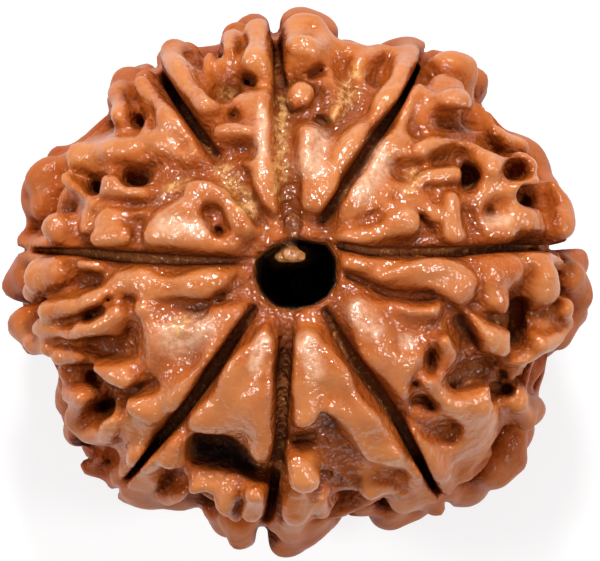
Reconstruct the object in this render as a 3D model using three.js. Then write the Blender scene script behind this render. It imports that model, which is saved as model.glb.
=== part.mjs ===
// A rudraksha seed: an eight-faced bead stone with deep grooves, a raised net of ridges, pits and a hole.
import * as THREE from "three";

// Driving dimensions in millimetres, from the middle of the stone, with the hole along z
const RADIUS_X = 11.7; // ground surface under the ridges, across
const RADIUS_Y = 10.6;
const HALF_HEIGHT = 9.7; // ground surface, along the hole
const FULLNESS = 2.5; // 2 would be an ellipsoid, more is boxier
const MOUTH = 0.7; // height above the ground at which hollows and pits are placed
const SHOULDER = 0.5; // how much more the ridges stand out near the belt
const REST_HEIGHT = -10.1; // small flats on the lowest ridges
const GRID = 0.32; // spacing of the points at which the shape is worked out
const MOST_TRIANGLES = 11600;

// Eight grooves from the hole outwards, clockwise from the top: [x, y, half width, floor]
const GROOVES = [
    [[-0.3, 2.4, 0.4, -0.6], [-0.45, 4.0, 0.36, 0.0], [-0.6, 6.0, 0.36, 0.1], [-0.75, 8.4, 0.34, 0.1],
     [-0.95, 9.3, 0.22, -1.2], [-1.0, 10.6, 0.2, -1.0], [-1.15, 11.25, 0.18, 0.65], [-1.4, 14.0, 0.3, 0.65]],
    [[1.1, 2.7, 0.24, -0.6], [1.95, 3.9, 0.22, -1.0], [2.55, 5.0, 0.2, -1.2], [3.2, 6.0, 0.24, -1.3],
     [3.9, 7.0, 0.2, -1.3], [4.6, 8.0, 0.15, -1.2], [5.12, 9.0, 0.13, -1.1], [5.6, 10.1, 0.1, 0.95],
     [7.6, 13.4, 0.2, 0.95]],
    [[1.9, 1.5, 0.18, -0.5], [3.2, 1.2, 0.2, -0.6], [5.0, 1.15, 0.2, -0.8], [7.0, 1.2, 0.22, -1.2],
     [9.0, 1.35, 0.18, -1.2], [10.6, 1.4, 0.14, -1.0], [11.4, 1.4, 0.12, -0.2], [14.5, 1.75, 0.2, -0.2]],
    [[1.2, -1.5, 0.2, -0.6], [1.8, -2.6, 0.24, -1.0], [2.6, -3.9, 0.26, -1.3], [3.7, -5.3, 0.26, -1.3],
     [4.6, -6.7, 0.22, -1.2], [5.35, -8.1, 0.22, -1.3], [6.1, -9.5, 0.16, -0.8], [6.7, -10.2, 0.12, 1.3],
     [7.8, -12.6, 0.2, 1.3]],
    [[-0.55, -1.6, 0.3, -0.3], [-0.6, -3.2, 0.3, -0.4], [-0.75, -4.4, 0.26, -1.2], [-0.85, -7.0, 0.26, -1.3],
     [-1.1, -9.0, 0.22, -1.3], [-1.3, -10.6, 0.2, -0.9], [-1.7, -11.4, 0.24, 0.85], [-1.95, -14.0, 0.34, 0.85]],
    [[-2.1, -1.4, 0.2, -0.5], [-2.9, -2.6, 0.26, -1.2], [-3.9, -4.15, 0.27, -1.4], [-4.8, -5.4, 0.25, -1.4],
     [-5.8, -6.7, 0.22, -1.3], [-6.9, -8.0, 0.18, -1.1], [-7.55, -8.8, 0.14, 0.2], [-8.2, -9.5, 0.12, 1.6],
     [-9.6, -11.3, 0.2, 1.6]],
    [[-2.4, 0.8, 0.14, -0.3], [-4.0, 0.8, 0.18, -0.4], [-6.0, 0.85, 0.22, -0.7], [-8.0, 0.95, 0.24, -1.4],
     [-10.0, 1.2, 0.18, -1.2], [-11.4, 1.25, 0.15, -0.6], [-12.5, 1.3, 0.12, 0.9], [-14.6, 1.35, 0.2, 0.9]],
    [[-1.9, 2.6, 0.2, 0.0], [-2.7, 4.0, 0.3, 0.1], [-3.4, 5.0, 0.3, 0.0], [-4.1, 6.0, 0.22, -0.9],
     [-4.8, 7.0, 0.23, -1.1], [-5.5, 8.0, 0.22, -1.1], [-6.05, 8.9, 0.2, -1.0], [-6.6, 9.8, 0.13, 0.75],
     [-8.6, 12.8, 0.2, 0.75]],
];
// Rim of the hole: [x, y]
const HOLE_RIM = [
    [-2.05, 0.9], [-2.1, 0.1], [-1.85, -0.6], [-1.2, -1.25], [-0.3, -1.4], [0.6, -1.2], [1.3, -0.75],
    [1.65, -0.2], [1.65, 0.9], [1.25, 1.6], [0.6, 1.75], [-0.3, 1.9], [-1.3, 1.5],
];
// Knobs that make the bead's outline, clockwise from the top groove: [x, y, radius]
const RIM_KNOBS = [
    [0.1, 11.45, 1.05], [0.65, 11.15, 1.0], [2.1, 10.05, 0.8], [4.1, 10.0, 0.9], [5.15, 10.35, 0.75],
    [7.0, 9.35, 1.1], [7.6, 9.0, 0.8], [7.75, 7.8, 0.6], [9.1, 5.6, 0.95], [10.0, 5.4, 0.95],
    [10.65, 4.95, 0.75], [11.0, 3.9, 0.95], [11.55, 2.8, 0.95], [12.5, 0.6, 0.85], [12.5, -0.5, 0.9],
    [12.2, -1.4, 0.95], [11.7, -2.4, 0.95], [10.6, -2.9, 0.85], [9.8, -4.4, 0.85], [10.2, -5.9, 0.95],
    [9.9, -7.2, 0.9], [9.6, -8.1, 0.9], [8.8, -8.8, 0.9], [7.6, -9.35, 1.1], [6.1, -10.3, 0.75],
    [5.2, -10.4, 0.85], [4.2, -10.6, 1.0], [3.1, -10.0, 0.85], [2.0, -9.9, 0.85], [0.9, -10.7, 1.0],
    [0.2, -11.2, 0.85], [-0.5, -11.7, 0.9], [-2.6, -11.5, 0.9], [-3.2, -10.9, 0.9], [-3.3, -10.0, 0.8],
    [-4.7, -9.1, 0.8], [-5.7, -9.6, 0.95], [-6.9, -9.6, 1.0], [-7.7, -9.1, 0.8], [-8.9, -8.0, 0.85],
    [-9.6, -7.6, 1.0], [-10.0, -6.8, 1.0], [-10.1, -5.6, 1.0], [-10.3, -4.6, 0.9], [-12.0, -2.7, 0.75],
    [-12.5, -2.2, 0.9], [-12.5, -0.3, 0.95], [-12.4, 0.4, 0.8], [-12.4, 1.8, 0.4], [-11.9, 2.2, 0.6],
    [-11.9, 3.4, 0.95], [-11.6, 4.4, 0.95], [-10.8, 5.0, 0.95], [-9.7, 5.5, 0.95], [-8.6, 5.9, 0.9],
    [-7.75, 7.9, 0.95], [-7.7, 8.75, 0.95], [-6.9, 8.9, 0.8], [-5.75, 10.0, 0.8], [-4.5, 9.4, 0.8],
    [-3.6, 9.9, 0.75], [-2.9, 10.8, 0.85], [-2.15, 11.2, 0.9],
];
// Flat-topped wedges that stand between the grooves: [lift, edge, [[x, y], ...]]
const PLATES = [
    // top, right of the top groove
    [0.85, 0.5, [[0.1, 3.1], [0.9, 3.0], [1.35, 3.7], [1.9, 4.6], [2.5, 5.6], [3.1, 6.6], [3.4, 7.2],
                 [2.9, 7.5], [2.2, 7.1], [1.7, 6.6], [1.2, 6.5], [0.8, 7.0], [0.15, 7.1], [-0.05, 6.4],
                 [-0.05, 5.0], [0.0, 3.8]]],
    // upper right
    [0.8, 0.5, [[1.9, 2.6], [2.4, 2.5], [3.3, 2.95], [4.1, 3.4], [4.6, 4.0], [4.5, 4.9], [5.0, 5.7],
                [5.1, 6.3], [4.8, 6.8], [4.2, 6.7], [3.7, 6.0], [3.1, 4.9], [2.5, 3.9], [2.05, 3.1]]],
    [0.6, 0.7, [[7.8, 2.0], [9.0, 1.7], [10.1, 2.1], [10.3, 2.9], [10.2, 3.9], [9.7, 4.6], [9.0, 5.1],
                [8.5, 4.6], [8.2, 3.9], [7.9, 3.2]]],
    // right, under the right groove
    [0.65, 0.5, [[3.7, 0.1], [4.6, 0.45], [5.6, 0.65], [6.6, 0.75], [7.5, 0.6], [8.0, 0.1], [8.0, -0.8],
                 [7.3, -1.2], [6.5, -0.7], [5.2, -0.45], [4.3, -0.3]]],
    // lower right
    [0.85, 0.5, [[2.05, -1.0], [2.8, -0.8], [4.0, -1.15], [4.6, -1.25], [5.5, -1.1], [6.3, -1.2],
                 [6.4, -1.8], [6.1, -2.4], [6.0, -3.0], [5.7, -3.9], [5.3, -4.6], [5.15, -5.3], [4.9, -5.75],
                 [4.4, -5.6], [3.4, -4.5], [2.6, -3.3], [2.05, -2.0]]],
    [1.0, 0.7, [[6.6, -5.2], [7.4, -5.6], [8.2, -5.6], [9.0, -5.7], [9.5, -6.4], [9.2, -7.2], [8.7, -8.0],
                [7.7, -8.35], [6.9, -8.6], [6.1, -8.1], [5.4, -7.3], [6.0, -7.2], [6.9, -7.2], [7.1, -6.6],
                [6.7, -5.9]]],
    [0.4, 0.3, [[4.9, -5.9], [5.7, -6.0], [6.5, -5.8], [7.0, -6.3], [7.1, -7.2], [6.2, -7.4], [5.3, -7.0]]],
    // bottom right
    [1.05, 0.4, [[0.25, -2.4], [0.9, -2.5], [1.6, -3.6], [2.5, -4.9], [3.4, -6.1], [4.3, -7.3],
                 [4.85, -8.1], [4.6, -8.6], [3.7, -8.75], [3.0, -8.45], [2.5, -7.7], [2.1, -6.9],
                 [1.5, -6.2], [1.0, -5.9], [0.75, -6.4], [0.5, -6.95], [-0.1, -6.95], [-0.35, -6.4],
                 [-0.3, -5.0], [-0.1, -3.5]]],
    [0.2, 0.4, [[0.9, -6.0], [1.5, -6.3], [2.1, -7.0], [2.5, -8.0], [2.3, -9.0], [1.5, -8.8], [1.0, -7.6]]],
    // bottom left
    [1.05, 0.4, [[-1.75, -2.1], [-1.35, -2.0], [-1.25, -3.0], [-1.25, -5.0], [-1.2, -6.5], [-1.1, -7.6],
                 [-1.3, -8.5], [-1.9, -8.6], [-2.5, -8.0], [-2.6, -7.2], [-3.2, -7.0], [-4.2, -7.1],
                 [-5.1, -7.1], [-5.15, -6.7], [-4.4, -5.5], [-3.5, -4.2], [-2.6, -3.1]]],
    // lower left
    [0.85, 0.5, [[-2.4, -1.2], [-3.1, -2.2], [-3.8, -3.3], [-4.7, -4.6], [-5.6, -5.8], [-6.4, -6.8],
                 [-7.0, -7.7], [-7.6, -8.6], [-8.1, -8.8], [-8.35, -8.0], [-8.4, -7.2], [-8.2, -6.2],
                 [-7.6, -5.45], [-6.8, -5.15], [-6.6, -4.95], [-7.2, -4.7], [-7.1, -3.2], [-7.2, -2.2],
                 [-7.4, -1.4], [-6.8, -1.15], [-5.8, -1.4], [-4.4, -1.3], [-3.2, -1.0]]],
    // left, under the left groove
    [0.9, 0.4, [[-3.0, 0.3], [-5.0, 0.3], [-7.0, 0.33], [-8.3, 0.3], [-8.75, -0.35], [-8.5, -0.85],
                [-7.2, -1.0], [-5.5, -1.0], [-4.0, -0.85], [-3.2, -0.4]]],
    // upper left
    [0.95, 0.6, [[-7.15, 2.5], [-6.9, 1.7], [-5.0, 1.45], [-3.0, 1.25], [-2.7, 1.6], [-3.4, 1.9],
                 [-4.0, 2.2], [-4.3, 3.0], [-4.6, 3.6], [-5.8, 3.6], [-6.6, 3.4]]],
    [0.8, 0.8, [[-11.2, 5.3], [-10.6, 4.9], [-9.9, 4.9], [-8.8, 5.2], [-7.6, 5.2], [-7.0, 5.8],
                [-7.2, 6.6], [-8.4, 6.9], [-10.0, 6.4], [-11.0, 6.0]]],
    // top left
    [0.85, 0.5, [[-1.05, 3.0], [-1.1, 4.5], [-1.15, 5.6], [-1.2, 7.4], [-1.15, 8.7], [-1.6, 8.8],
                 [-2.5, 8.4], [-2.8, 7.9], [-2.6, 7.2], [-2.5, 6.2], [-2.4, 5.7], [-2.9, 5.5],
                 [-2.9, 5.2], [-2.2, 4.5], [-1.6, 3.5]]],
];
// Ridges and knobs with solid flanks: [lift of the crest, [[x, y, radius], ...]]
const RIDGES = [
    // top lobe
    [1.5, [[-0.1, 10.5, 0.7], [0.05, 11.3, 0.75], [0.6, 11.2, 0.75]]],
    [1.3, [[0.4, 10.3, 0.5], [1.0, 10.9, 0.6]]],
    [1.0, [[0.35, 5.1, 0.3], [0.3, 5.8, 0.34], [0.3, 6.6, 0.36]]],
    [1.0, [[1.9, 5.4, 0.35], [2.4, 6.2, 0.4], [2.8, 6.8, 0.42]]],
    [1.0, [[3.3, 7.2, 0.42], [3.75, 7.75, 0.48], [4.2, 8.4, 0.5], [4.55, 9.1, 0.52], [5.0, 9.9, 0.66],
           [5.25, 10.4, 0.7]]],
    [0.6, [[1.7, 10.3, 0.45], [2.5, 10.2, 0.45]]],
    [0.7, [[2.9, 9.9, 0.4], [3.6, 10.3, 0.45], [4.3, 10.1, 0.45]]],
    [0.4, [[2.7, 9.6, 0.34], [2.8, 8.9, 0.34], [3.4, 8.5, 0.34]]],
    [0.5, [[1.45, 7.3, 0.28], [1.8, 7.8, 0.28], [1.9, 8.4, 0.22]]],
    // upper right lobe
    [1.05, [[2.4, 3.4, 0.4], [2.9, 4.3, 0.42], [3.5, 5.2, 0.45], [4.1, 6.0, 0.5], [4.6, 6.9, 0.42],
            [4.95, 7.9, 0.46], [5.4, 8.35, 0.5], [5.85, 7.9, 0.44], [6.0, 7.3, 0.38]]],
    [0.9, [[4.4, 5.7, 0.5], [4.7, 6.2, 0.45]]],
    [1.0, [[2.2, 1.85, 0.32], [3.4, 2.0, 0.42], [4.2, 2.25, 0.55], [4.8, 2.35, 0.58]]],
    [0.6, [[4.0, 3.0, 0.4], [4.7, 3.3, 0.38], [5.5, 3.3, 0.34], [6.0, 3.0, 0.32]]],
    [0.65, [[4.3, 4.4, 0.26], [5.1, 4.1, 0.26], [5.9, 3.5, 0.28]]],
    [0.5, [[4.7, 3.8, 0.5], [5.5, 3.7, 0.42]]],
    [1.2, [[6.9, 3.8, 0.55], [7.0, 3.1, 0.48], [7.1, 2.2, 0.62]]],
    [0.45, [[5.9, 2.9, 0.34]]],
    [0.7, [[8.1, 3.4, 0.4], [7.5, 3.5, 0.35], [7.0, 3.6, 0.35]]],
    [1.05, [[8.2, 3.3, 0.42], [8.5, 3.9, 0.42], [9.2, 4.2, 0.45], [9.8, 3.7, 0.45], [9.85, 2.9, 0.48],
            [9.3, 2.3, 0.5], [8.5, 2.3, 0.42], [8.1, 2.8, 0.4], [8.2, 3.3, 0.42]]],
    [1.25, [[9.3, 4.5, 0.5], [8.9, 5.1, 0.48], [8.5, 5.7, 0.52], [7.95, 6.2, 0.56], [7.25, 6.5, 0.56],
            [6.5, 6.3, 0.5], [5.9, 6.05, 0.42], [5.4, 5.8, 0.36]]],
    [1.25, [[9.3, 5.1, 0.42], [9.8, 5.75, 0.44], [10.5, 5.75, 0.44], [11.0, 5.3, 0.44], [10.95, 4.75, 0.42],
            [10.3, 4.45, 0.36]]],
    [0.8, [[8.7, 6.6, 0.35], [9.4, 6.2, 0.35], [10.1, 6.2, 0.3]]],
    [1.15, [[10.3, 2.65, 0.6], [10.9, 2.65, 0.6]]],
    [1.2, [[11.5, 4.2, 0.45], [11.95, 3.2, 0.5], [11.8, 2.4, 0.5]]],
    [2.2, [[6.8, 9.6, 0.8], [7.35, 9.4, 0.85]]],
    [2.1, [[7.05, 8.1, 0.86], [7.4, 8.1, 0.9]]],
    [0.8, [[6.2, 9.6, 0.4], [6.0, 10.0, 0.35]]],
    // right lobe
    [0.55, [[2.2, 0.8, 0.24], [3.3, 0.72, 0.22], [4.6, 0.85, 0.18]]],
    [0.95, [[3.8, 0.05, 0.2], [4.5, 0.3, 0.26], [5.4, 0.5, 0.28], [6.4, 0.6, 0.3], [7.2, 0.4, 0.36],
            [7.7, 0.0, 0.4]]],
    [0.5, [[4.6, -0.15, 0.3], [5.6, -0.15, 0.35], [6.6, -0.3, 0.4], [7.3, -0.5, 0.4]]],
    [1.3, [[8.75, 0.2, 0.64], [9.5, 0.4, 0.68]]],
    [1.1, [[9.1, -0.2, 0.6], [9.15, -1.15, 0.54]]],
    [1.3, [[10.95, 0.0, 0.8], [11.05, -0.6, 0.8]]],
    [0.95, [[10.4, 0.85, 0.32], [11.2, 0.95, 0.38], [11.9, 0.7, 0.42]]],
    [1.1, [[12.0, -1.4, 0.4], [12.2, -2.0, 0.45], [11.8, -2.7, 0.45], [11.0, -3.0, 0.4]]],
    [0.5, [[10.9, -1.9, 0.4], [11.4, -2.2, 0.4]]],
    [1.1, [[2.6, -1.5, 0.5], [3.1, -2.3, 0.5]]],
    [1.15, [[4.7, -1.5, 0.3], [5.5, -1.65, 0.36], [6.0, -1.6, 0.3]]],
    [1.2, [[6.6, -2.7, 0.42], [6.9, -3.4, 0.48], [6.8, -4.2, 0.48], [6.3, -4.7, 0.4], [5.7, -4.75, 0.3]]],
    [0.95, [[6.2, -5.0, 0.32], [6.9, -5.5, 0.4], [7.8, -5.6, 0.42]]],
    [1.0, [[8.75, -4.4, 0.3], [8.45, -5.1, 0.34], [8.35, -5.8, 0.4]]],
    [0.75, [[9.2, -3.9, 0.36], [10.0, -3.8, 0.36], [10.5, -3.4, 0.36]]],
    [0.8, [[5.1, -7.0, 0.3], [5.8, -7.9, 0.45], [6.4, -8.8, 0.6], [7.0, -9.5, 0.6]]],
    [0.9, [[7.6, -9.5, 0.6], [8.3, -9.3, 0.45]]],
    [1.0, [[10.0, -5.8, 0.55], [10.3, -6.4, 0.5]]],
    [0.95, [[9.8, -7.5, 0.45], [9.6, -8.2, 0.5], [9.1, -8.7, 0.45]]],
    // bottom right lobe
    [1.15, [[1.3, -3.4, 0.25], [2.4, -5.1, 0.3], [3.5, -6.6, 0.36], [4.3, -7.8, 0.4]]],
    [1.1, [[0.2, -3.2, 0.3], [0.05, -5.2, 0.34], [0.05, -6.4, 0.38]]],
    [1.45, [[0.05, -8.3, 0.76], [0.1, -8.8, 0.74]]],
    [1.0, [[-0.1, -9.5, 0.62], [-0.1, -10.4, 0.65], [-0.3, -11.2, 0.6], [-0.5, -11.7, 0.5]]],
    [0.7, [[0.9, -10.0, 0.5], [1.0, -10.6, 0.55]]],
    [0.6, [[3.4, -9.6, 0.5], [4.6, -9.7, 0.5], [4.8, -10.5, 0.55], [3.7, -10.8, 0.5]]],
    [0.7, [[5.2, -9.3, 0.45], [5.5, -10.1, 0.5], [6.2, -10.4, 0.42]]],
    [0.1, [[1.2, -7.2, 0.16], [1.7, -8.2, 0.16], [2.3, -9.1, 0.16]]],
    // bottom left lobe
    [1.15, [[-1.55, -3.0, 0.3], [-1.7, -5.0, 0.38], [-1.8, -6.8, 0.42], [-1.8, -7.9, 0.45]]],
    [1.1, [[-2.5, -3.8, 0.26], [-3.5, -5.2, 0.34], [-4.5, -6.5, 0.38]]],
    [1.2, [[-5.95, -8.3, 0.55], [-5.6, -7.6, 0.48]]],
    [0.9, [[-6.6, -9.1, 0.45], [-7.2, -9.5, 0.48], [-6.8, -9.9, 0.45], [-5.6, -9.9, 0.42],
           [-4.9, -9.4, 0.4]]],
    [1.2, [[-2.0, -9.7, 0.55], [-2.1, -10.5, 0.55]]],
    [0.95, [[-3.0, -9.7, 0.5], [-3.4, -10.1, 0.5], [-2.9, -10.7, 0.5]]],
    [0.9, [[-2.5, -11.4, 0.5], [-3.1, -11.1, 0.5]]],
    [0.6, [[-4.4, -9.2, 0.36], [-3.8, -9.4, 0.36]]],
    // lower left lobe
    [1.0, [[-2.8, -1.6, 0.3], [-3.6, -2.7, 0.36], [-4.6, -4.1, 0.4], [-5.7, -5.6, 0.45]]],
    [0.95, [[-6.9, -2.2, 0.32], [-6.75, -3.4, 0.34], [-6.8, -4.1, 0.32]]],
    [1.05, [[-7.1, -1.4, 0.4]]],
    [1.15, [[-9.2, -4.0, 0.42], [-8.5, -4.3, 0.5], [-7.8, -4.5, 0.46]]],
    [1.1, [[-12.7, -2.2, 0.6], [-12.2, -2.8, 0.5], [-11.5, -3.1, 0.4]]],
    [1.0, [[-10.8, -3.5, 0.42], [-9.9, -3.5, 0.44], [-9.2, -3.5, 0.36]]],
    [0.7, [[-10.5, -4.4, 0.5]]],
    [1.35, [[-11.5, 0.2, 0.9], [-11.0, 0.25, 0.8]]],
    [1.2, [[-12.1, -0.7, 0.6]]],
    [1.05, [[-9.8, 0.5, 0.4], [-9.2, 0.5, 0.4]]],
    [1.0, [[-10.5, -5.2, 0.55], [-9.9, -5.4, 0.45], [-10.2, -6.2, 0.45]]],
    [1.0, [[-8.4, -6.4, 0.35], [-8.8, -7.0, 0.5], [-9.5, -7.0, 0.5], [-10.0, -6.7, 0.4]]],
    [0.95, [[-10.2, -7.8, 0.4], [-9.5, -8.5, 0.4], [-8.7, -8.8, 0.35]]],
    [1.0, [[-10.1, -7.05, 0.5], [-9.4, -7.2, 0.5], [-8.7, -7.3, 0.5]]],
    [1.15, [[-7.2, -5.8, 0.5], [-6.8, -6.0, 0.5]]],
    [0.35, [[-7.8, 0.38, 0.14], [-6.0, 0.38, 0.14], [-3.2, 0.42, 0.14]]],
    [1.0, [[-8.15, -0.3, 0.42], [-6.0, -0.2, 0.36], [-3.8, -0.12, 0.32]]],
    [1.35, [[-11.2, -1.5, 0.58], [-10.3, -1.25, 0.58], [-9.4, -0.9, 0.46], [-8.8, -0.7, 0.38]]],
    [1.25, [[-9.9, -2.4, 0.42], [-9.1, -2.05, 0.46], [-8.3, -1.65, 0.44]]],
    [1.15, [[-11.9, -2.3, 0.44], [-11.2, -2.35, 0.44], [-10.5, -2.45, 0.36]]],
    // upper left lobe
    [1.1, [[-4.9, 4.1, 0.34], [-4.2, 4.0, 0.4], [-3.5, 3.6, 0.46], [-3.0, 3.0, 0.48], [-2.6, 2.3, 0.42]]],
    [0.85, [[-4.1, 3.3, 0.5], [-3.8, 2.8, 0.45]]],
    [1.1, [[-6.3, 2.7, 0.55], [-5.3, 3.0, 0.6], [-4.8, 3.1, 0.5]]],
    [1.05, [[-6.7, 2.05, 0.36], [-5.0, 1.85, 0.36], [-3.2, 1.55, 0.3]]],
    [0.6, [[-6.3, 3.9, 0.18], [-5.7, 3.95, 0.2], [-5.3, 4.15, 0.18]]],
    [1.1, [[-7.1, 8.7, 0.5], [-6.5, 8.0, 0.48], [-6.0, 7.3, 0.44], [-5.4, 6.8, 0.42], [-4.95, 6.3, 0.38],
           [-4.75, 5.8, 0.3]]],
    [0.9, [[-6.3, 6.1, 0.36], [-5.7, 5.95, 0.42], [-5.1, 5.5, 0.34]]],
    [1.1, [[-8.8, 2.5, 0.6], [-8.3, 2.3, 0.6], [-8.0, 2.0, 0.55], [-8.9, 1.9, 0.5]]],
    [0.9, [[-9.7, 2.3, 0.4], [-9.7, 2.9, 0.4], [-9.4, 3.4, 0.34]]],
    [1.3, [[-11.0, 2.2, 0.75]]],
    [1.2, [[-11.7, 4.2, 0.8]]],
    [1.05, [[-8.1, 8.8, 0.55], [-8.15, 8.0, 0.5], [-8.1, 7.4, 0.4]]],
    [0.85, [[-6.95, 9.1, 0.5]]],
    [0.85, [[-7.1, 7.2, 0.36], [-6.9, 6.3, 0.36]]],
    [1.05, [[-9.9, 5.4, 0.6], [-8.6, 5.7, 0.68], [-7.6, 5.9, 0.62]]],
    [0.7, [[-9.2, 4.95, 0.5], [-8.6, 4.9, 0.4]]],
    [0.9, [[-10.6, 4.5, 0.26], [-10.1, 4.05, 0.28], [-9.6, 3.7, 0.28]]],
    [1.05, [[-8.8, 4.25, 0.34], [-7.8, 4.0, 0.38], [-7.0, 3.75, 0.36]]],
    [0.95, [[-8.6, 2.95, 0.26], [-7.8, 2.95, 0.26], [-7.1, 3.05, 0.24]]],
    // top left lobe
    [1.25, [[-3.6, 6.65, 0.46], [-3.0, 6.6, 0.56], [-2.4, 6.5, 0.5]]],
    [1.45, [[-4.15, 7.8, 0.55], [-4.6, 8.4, 0.68], [-5.15, 9.2, 0.72], [-5.65, 9.9, 0.7], [-5.85, 10.2, 0.66]]],
    [0.75, [[-4.6, 9.0, 0.35], [-4.0, 8.5, 0.35]]],
    [0.7, [[-3.3, 8.1, 0.3], [-2.7, 8.1, 0.34]]],
    [1.0, [[-3.1, 10.3, 0.42], [-3.0, 11.0, 0.45]]],
    [1.0, [[-1.7, 5.4, 0.34], [-1.6, 6.8, 0.34], [-1.75, 8.1, 0.42]]],
    [1.5, [[-1.95, 9.95, 0.5], [-1.9, 10.8, 0.56], [-1.85, 11.3, 0.56]]],
    [0.8, [[-4.5, 9.6, 0.4], [-4.1, 9.9, 0.4]]],
    [0.5, [[-3.4, 9.6, 0.35], [-3.0, 9.8, 0.35]]],
    [0.9, [[5.3, 4.5, 0.38], [6.1, 4.6, 0.38], [6.9, 4.7, 0.34]]],
    [1.0, [[7.7, -1.75, 0.34], [8.3, -2.2, 0.4], [8.9, -2.8, 0.46], [9.4, -3.4, 0.42]]],
];
// Rods that bridge the hollows: [lift, [[x, y, radius], ...]]
const RODS = [
    [1.15, [[0.0, 8.2, 0.64], [0.08, 8.35, 0.62]]],
    [0.95, [[6.3, 4.62, 0.34], [7.05, 4.72, 0.34]]],
    [1.15, [[-9.5, -0.9, 0.3], [-8.95, -0.72, 0.3]]],
    [1.1, [[-8.8, -1.85, 0.36], [-8.2, -1.55, 0.38]]],
];
// Soft hollows: [height of the floor, [[x, y, radius], ...]]
const HOLLOWS = [
    [0.6, [[1.1, 5.7, 0.34], [1.3, 6.3, 0.38]]],
    [0.0, [[0.3, 7.4, 0.25]]],
    [0.1, [[1.15, 8.3, 0.3], [1.2, 9.2, 0.38]]],
    [0.1, [[2.0, 8.7, 0.45], [2.2, 9.4, 0.45]]],
    [0.3, [[3.6, 9.5, 0.42]]],
    [0.1, [[2.8, 7.85, 0.28]]],
    [0.5, [[2.9, 2.55, 0.16], [3.6, 2.75, 0.16]]],
    [0.1, [[4.7, 4.9, 0.36], [5.3, 5.0, 0.35]]],
    [0.1, [[6.2, 5.3, 0.2], [6.9, 5.35, 0.22], [7.4, 5.4, 0.26]]],
    [-0.2, [[5.55, 7.3, 0.36]]],
    [0.45, [[8.75, 3.15, 0.28], [9.15, 3.35, 0.26]]],
    [0.3, [[7.75, 2.5, 0.14], [7.65, 2.9, 0.12]]],
    [0.3, [[10.1, 5.05, 0.4], [10.35, 5.1, 0.36]]],
    [-0.6, [[6.5, 7.25, 0.2], [7.3, 7.3, 0.2]]],
    [-0.3, [[8.3, 6.9, 0.22], [8.9, 6.1, 0.2], [9.3, 5.7, 0.2]]],
    [-0.3, [[6.15, 8.9, 0.18], [6.35, 8.2, 0.16]]],
    [0.5, [[11.35, 3.4, 0.2], [11.45, 2.8, 0.2]]],
    [0.55, [[4.1, -1.6, 0.2], [4.5, -2.2, 0.25], [5.2, -2.4, 0.25], [5.9, -2.35, 0.2]]],
    [0.6, [[4.7, -3.1, 0.45], [5.2, -3.0, 0.4]]],
    [-0.6, [[7.1, -1.9, 0.34], [7.75, -2.9, 0.36], [8.1, -3.5, 0.28]]],
    [-0.4, [[8.9, -2.1, 0.28], [9.3, -2.7, 0.3]]],
    [-1.2, [[7.2, -4.9, 0.28], [7.9, -4.5, 0.34], [8.4, -4.15, 0.26]]],
    [0.6, [[7.3, -8.75, 0.2], [8.1, -8.8, 0.26], [8.6, -8.5, 0.22]]],
    [0.4, [[9.6, -7.0, 0.22]]],
    [0.8, [[1.1, -4.9, 0.25], [1.2, -5.5, 0.3]]],
    [-0.5, [[1.3, -7.0, 0.3], [1.6, -7.6, 0.45], [1.9, -8.5, 0.5], [2.5, -9.3, 0.4]]],
    [-0.8, [[-0.2, -7.4, 0.2], [0.6, -7.3, 0.25]]],
    [-0.3, [[3.5, -9.2, 0.32], [4.6, -9.1, 0.3]]],
    [0.5, [[3.9, -10.3, 0.3]]],
    [-0.4, [[-6.0, -9.4, 0.36], [-5.5, -9.3, 0.28]]],
    [0.2, [[-2.7, -9.1, 0.3]]],
    [0.3, [[-6.3, -1.7, 0.35], [-5.2, -1.6, 0.4], [-4.4, -1.5, 0.25]]],
    [0.55, [[-5.7, -3.1, 0.55], [-5.6, -3.8, 0.5]]],
    [-0.3, [[-7.75, -2.4, 0.28], [-7.75, -3.4, 0.3]]],
    [-0.4, [[-8.8, -2.8, 0.32], [-9.6, -3.0, 0.22], [-8.4, -3.4, 0.3]]],
    [0.1, [[-10.2, -0.25, 0.16], [-9.4, -0.12, 0.16]]],
    [0.3, [[-7.5, -5.1, 0.16], [-6.9, -4.9, 0.16]]],
    [-0.4, [[-9.8, -7.7, 0.2], [-9.2, -7.95, 0.22], [-8.6, -8.1, 0.2]]],
    [0.1, [[-6.2, 4.8, 0.4], [-5.5, 4.8, 0.36]]],
    [0.3, [[-6.55, 7.4, 0.16], [-6.5, 6.7, 0.16]]],
    [-0.2, [[-10.4, 3.2, 0.24]]],
    [-0.3, [[-12.0, 3.2, 0.22]]],
    [-0.2, [[-3.1, 8.9, 0.34], [-3.5, 8.5, 0.28]]],
    [0.3, [[-3.8, 9.3, 0.25]]],
    [0.3, [[-4.85, 10.25, 0.18], [-4.5, 9.3, 0.18]]],
    [0.1, [[-2.5, 4.6, 0.28]]],
    [-0.2, [[-3.4, 5.85, 0.3], [-2.6, 5.95, 0.24]]],
];
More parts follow.
